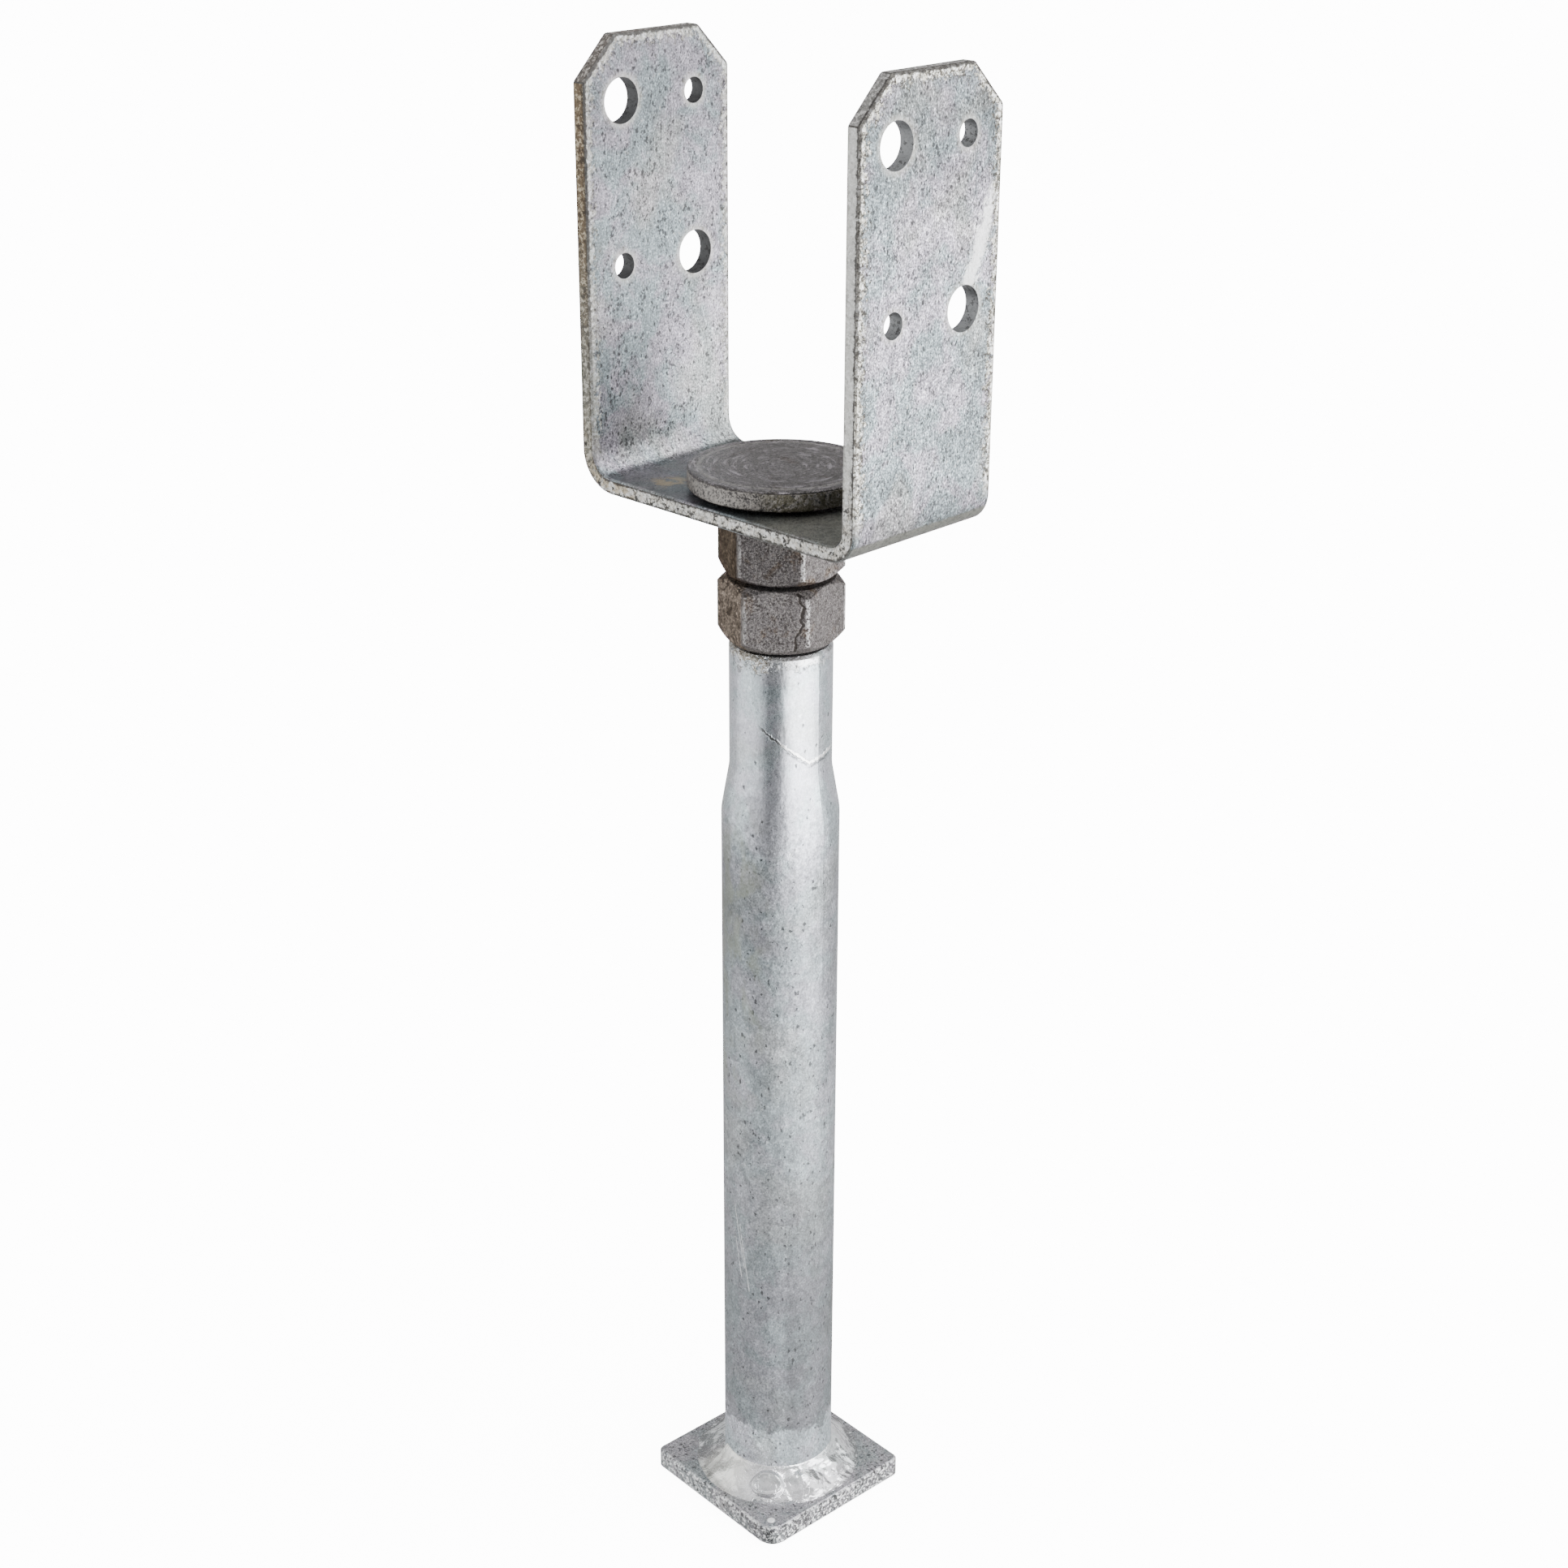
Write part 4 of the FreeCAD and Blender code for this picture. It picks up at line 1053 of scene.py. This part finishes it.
def make_weld(sizes, material):
    """The weld bead: a spun fillet, then lumps, drops and a step where the weld was closed."""
    tube_radius = TUBE_HIGH.x
    reach = WELD_HIGH.x
    foot = WELD_LOW.z
    crest = WELD_HIGH.z - foot
    hidden = 0.0003
    bm = bmesh.new()
    rows = sizes.rows
    outline = [(tube_radius - hidden, foot - hidden), (reach + 0.4 * hidden, foot - hidden)]
    for row in range(rows + 1):
        share = row / rows
        radius = reach + (tube_radius - reach) * share
        level = foot + crest * (share ** 1.7 + 0.05 * math.sin(math.pi * share))
        outline.append((radius, level))
    outline.append((tube_radius - hidden, foot + crest))
    outline.append(outline[0])
    spin_round(bm, outline, sizes.steps)
    drops = (
        (WELD_DROP_TURN, 0.0242, sizes.drop_radius, sizes.drop_height, 0.45),
        (math.radians(-18.0), 0.0258, 1.5 * sizes.drop_radius, 1.5 * sizes.drop_height, 0.0),
        (math.radians(-28.0), 0.0225, 0.8 * sizes.drop_radius, 0.6 * sizes.drop_height, 0.0),
        (math.radians(12.0), 0.0245, 1.1 * sizes.drop_radius, sizes.drop_height, 0.0),
        (math.radians(-86.0), 0.0250, 1.6 * sizes.drop_radius, 0.7 * sizes.drop_height, 0.0))
    for vert in bm.verts:
        radius = math.hypot(vert.co.x, vert.co.y)
        if radius < tube_radius - 0.5 * hidden or vert.co.z < foot - 0.5 * hidden:
            continue
        angle = math.atan2(vert.co.y, vert.co.x)
        share = (vert.co.z - foot) / crest
        edge = min(1.0, 6 * (radius - tube_radius) / (reach - tube_radius))
        outward = Vector((math.cos(angle), math.sin(angle), 0.0))
        rise = share * (weld_height(sizes, angle) - 1.0) * crest
        place = vert.co * 110.0
        to_right = max(0.0, math.cos(angle - math.radians(-5.0)))
        swell = sizes.lump * (noise.noise(place) + 0.35 * noise.noise(2.1 * place))
        swell += sizes.lump * 0.4 * to_right * noise.noise(4.2 * place)
        for turn, distance, size, height, lip in drops:
            along = radius * math.sin(angle - turn) / (1.4 * size)
            out = (radius * math.cos(angle - turn) - distance) / (0.78 * size)
            gap = math.hypot(along, out)
            if gap < 1:
                swell += height * ((1 - gap ** 2) ** 2 if lip == 0 else 1 - gap ** 6)
                swell += lip * height * math.exp(-((gap - 0.82) / 0.14) ** 2)
        lean = Vector((0.0, 0.0, 0.75)) + 0.66 * outward
        vert.co.z += rise
        vert.co += lean * swell * edge
        vert.co.z = max(vert.co.z, foot + 0.00002)
    piece = finished_piece(bm, "weld_run", material, "anchor", 60.0)
    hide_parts("weld_bead")
    return piece


# Stage, lights and camera

def camera_axes(stage):
    """Directions of the camera: right, up and back."""
    azimuth = stage.camera_azimuth
    pitch = stage.camera_pitch
    back = Vector((math.sin(azimuth) * math.cos(pitch), -math.cos(azimuth) * math.cos(pitch),
                   math.sin(pitch)))
    right = Vector((math.cos(azimuth), math.sin(azimuth), 0.0))
    up = back.cross(right)
    roll = stage.camera_roll
    return (right * math.cos(roll) + up * math.sin(roll), up * math.cos(roll) - right * math.sin(roll), back)


def add_camera(stage):
    """The camera at the photograph's viewing angle."""
    right, up, back = camera_axes(stage)
    data = bpy.data.cameras.new("camera")
    data.sensor_width = 36.0
    data.lens = stage.focal_pixels / stage.photo_pixels * data.sensor_width
    data.shift_x = stage.shift_pixels / stage.photo_pixels
    data.clip_start = 0.05
    data.clip_end = 60.0
    camera = bpy.data.objects.new("camera", data)
    bpy.context.scene.collection.objects.link(camera)
    place = Vector((0.0, 0.0, stage.target_height)) + back * stage.camera_distance
    turn = Matrix((right, up, back)).transposed().to_4x4()
    camera.matrix_world = Matrix.Translation(place) @ turn
    bpy.context.scene.camera = camera


def add_floor(stage):
    """The pale lit floor; it can't be seen from below."""
    bm = bmesh.new()
    bmesh.ops.create_grid(bm, x_segments=1, y_segments=1, size=9.0)
    mesh = bpy.data.meshes.new("floor")
    bm.to_mesh(mesh)
    bm.free()
    material = bpy.data.materials.new("pale_floor")
    material.use_nodes = True
    shader = material.node_tree.nodes["Principled BSDF"]
    shader.inputs["Base Color"].default_value = (*stage.floor, 1.0)
    shader.inputs["Roughness"].default_value = 0.9
    shader.inputs["Specular IOR Level"].default_value = 0.1
    shader.inputs["Emission Color"].default_value = (*stage.floor, 1.0)
    shader.inputs["Emission Strength"].default_value = stage.floor_glow
    graph = Graph(material.node_tree)
    from_below = graph.add("ShaderNodeNewGeometry").outputs["Backfacing"]
    graph.put(shader.inputs["Alpha"], graph.minus(1.0, from_below))
    mesh.materials.append(material)
    floor = bpy.data.objects.new("floor", mesh)
    floor.location.z = CAD_BOX[0][2] - 0.00005
    bpy.context.scene.collection.objects.link(floor)
    floor.visible_glossy = False
    floor.visible_diffuse = False


def set_sky(stage):
    """The studio's walls and ceiling, with soft bright and dark panels round the object."""
    world = bpy.data.worlds.new("studio")
    bpy.context.scene.world = world
    world.use_nodes = True
    graph = Graph(world.node_tree)
    direction = graph.add("ShaderNodeTexCoord").outputs["Generated"]
    x, y, z = parts_of(graph, direction)
    flat = graph.hypot(x, y, 1e-6)
    level = graph.ramp(z, 0.55, 0.95, stage.sky, stage.ceiling)
    for angle, half_width, soft, low, high, brightness in PANELS:
        azimuth = stage.camera_azimuth + math.radians(angle)
        towards = graph.total(graph.product(x, math.sin(azimuth)), graph.product(y, -math.cos(azimuth)))
        facing = graph.math("DIVIDE", towards, flat)
        outer = math.cos(math.radians(half_width + soft))
        inner = math.cos(math.radians(half_width))
        mask = graph.product(graph.ramp(facing, outer, inner), graph.between(z, low, high, 0.08))
        level = graph.total(level, graph.product(mask, graph.minus(brightness, level)))
    background = world.node_tree.nodes["Background"]
    background.inputs["Color"].default_value = (1.0, 1.0, 1.0, 1.0)
    seen = graph.add("ShaderNodeLightPath").outputs["Is Camera Ray"]
    level = graph.total(level, graph.product(seen, graph.minus(stage.backdrop, level)))
    graph.put(background.inputs["Strength"], level)


def add_overhead(stage):
    """A wide soft light from straight above, for an even floor."""
    data = bpy.data.lights.new("overhead light", "SUN")
    data.energy = stage.overhead
    data.angle = math.radians(90.0)
    light = bpy.data.objects.new("overhead light", data)
    bpy.context.scene.collection.objects.link(light)
    light.visible_glossy = False


# Operators, one for each piece or group of like pieces

class POSTBASE_OT_spindle(bpy.types.Operator):
    """Model the threaded spindle with its disc"""
    bl_idname = "post_base.spindle"
    bl_label = "Threaded spindle"

    def execute(self, context):
        make_spindle(context.scene.post_base_spindle, spindle_material(context.scene.post_base_dark_steel))
        return {"FINISHED"}


class POSTBASE_OT_weld(bpy.types.Operator):
    """Model the weld bead between tube and foot plate"""
    bl_idname = "post_base.weld"
    bl_label = "Weld bead"

    def execute(self, context):
        make_weld(context.scene.post_base_weld, weld_material(context.scene.post_base_zinc))
        return {"FINISHED"}


class POSTBASE_OT_fork(bpy.types.Operator):
    """Give the fork its galvanised finish"""
    bl_idname = "post_base.fork"
    bl_label = "Fork"

    def execute(self, context):
        dress("fork", fork_material(context.scene.post_base_zinc))
        return {"FINISHED"}


class POSTBASE_OT_anchor(bpy.types.Operator):
    """Give tube and foot plate their galvanised finish"""
    bl_idname = "post_base.anchor"
    bl_label = "Tube and foot plate"

    def execute(self, context):
        dress("tube", tube_material(context.scene.post_base_zinc))
        dress("base_plate", plate_material(context.scene.post_base_zinc))
        return {"FINISHED"}


class POSTBASE_OT_hexagons(bpy.types.Operator):
    """Give lock nut and adjusting nut their dark finish"""
    bl_idname = "post_base.hexagons"
    bl_label = "Hexagons"

    def execute(self, context):
        dark = context.scene.post_base_dark_steel
        for node, finish in HEXAGONS.items():
            dress(node, hexagon_material(f"dark_{node}", dark, **finish))
        return {"FINISHED"}


class POSTBASE_OT_stage(bpy.types.Operator):
    """Set the floor, the soft lights and the camera"""
    bl_idname = "post_base.stage"
    bl_label = "Stage"

    def execute(self, context):
        stage = context.scene.post_base_stage
        add_floor(stage)
        set_sky(stage)
        add_overhead(stage)
        add_camera(stage)
        return {"FINISHED"}


class POSTBASE_PT_panel(bpy.types.Panel):
    """Lists the steps that dress the post base"""
    bl_idname = "POSTBASE_PT_panel"
    bl_label = "Timber post base"
    bl_space_type = "VIEW_3D"
    bl_region_type = "UI"
    bl_category = "Post base"

    def draw(self, context):
        for operator in OPERATORS:
            self.layout.operator(operator.bl_idname)
        for group in SETTINGS:
            box = self.layout.box()
            for prop in getattr(context.scene, group).bl_rna.properties:
                if prop.identifier not in ("name", "rna_type"):
                    box.prop(getattr(context.scene, group), prop.identifier)


SETTINGS = {
    "post_base_spindle": SpindleSizes,
    "post_base_weld": WeldSizes,
    "post_base_zinc": ZincColours,
    "post_base_dark_steel": DarkSteelColours,
    "post_base_stage": StageSettings,
}
OPERATORS = (POSTBASE_OT_spindle, POSTBASE_OT_weld, POSTBASE_OT_fork, POSTBASE_OT_anchor,
             POSTBASE_OT_hexagons, POSTBASE_OT_stage)


def register():
    for cls in (*SETTINGS.values(), *OPERATORS, POSTBASE_PT_panel):
        bpy.utils.register_class(cls)
    for name, group in SETTINGS.items():
        setattr(bpy.types.Scene, name, PointerProperty(type=group))


def unregister():
    for name in SETTINGS:
        delattr(bpy.types.Scene, name)
    for cls in reversed((*SETTINGS.values(), *OPERATORS, POSTBASE_PT_panel)):
        bpy.utils.unregister_class(cls)


def main():
    register()
    bpy.ops.post_base.spindle()
    bpy.ops.post_base.weld()
    bpy.ops.post_base.fork()
    bpy.ops.post_base.anchor()
    bpy.ops.post_base.hexagons()
    bpy.ops.post_base.stage()


if __name__ == "__main__":
    main()
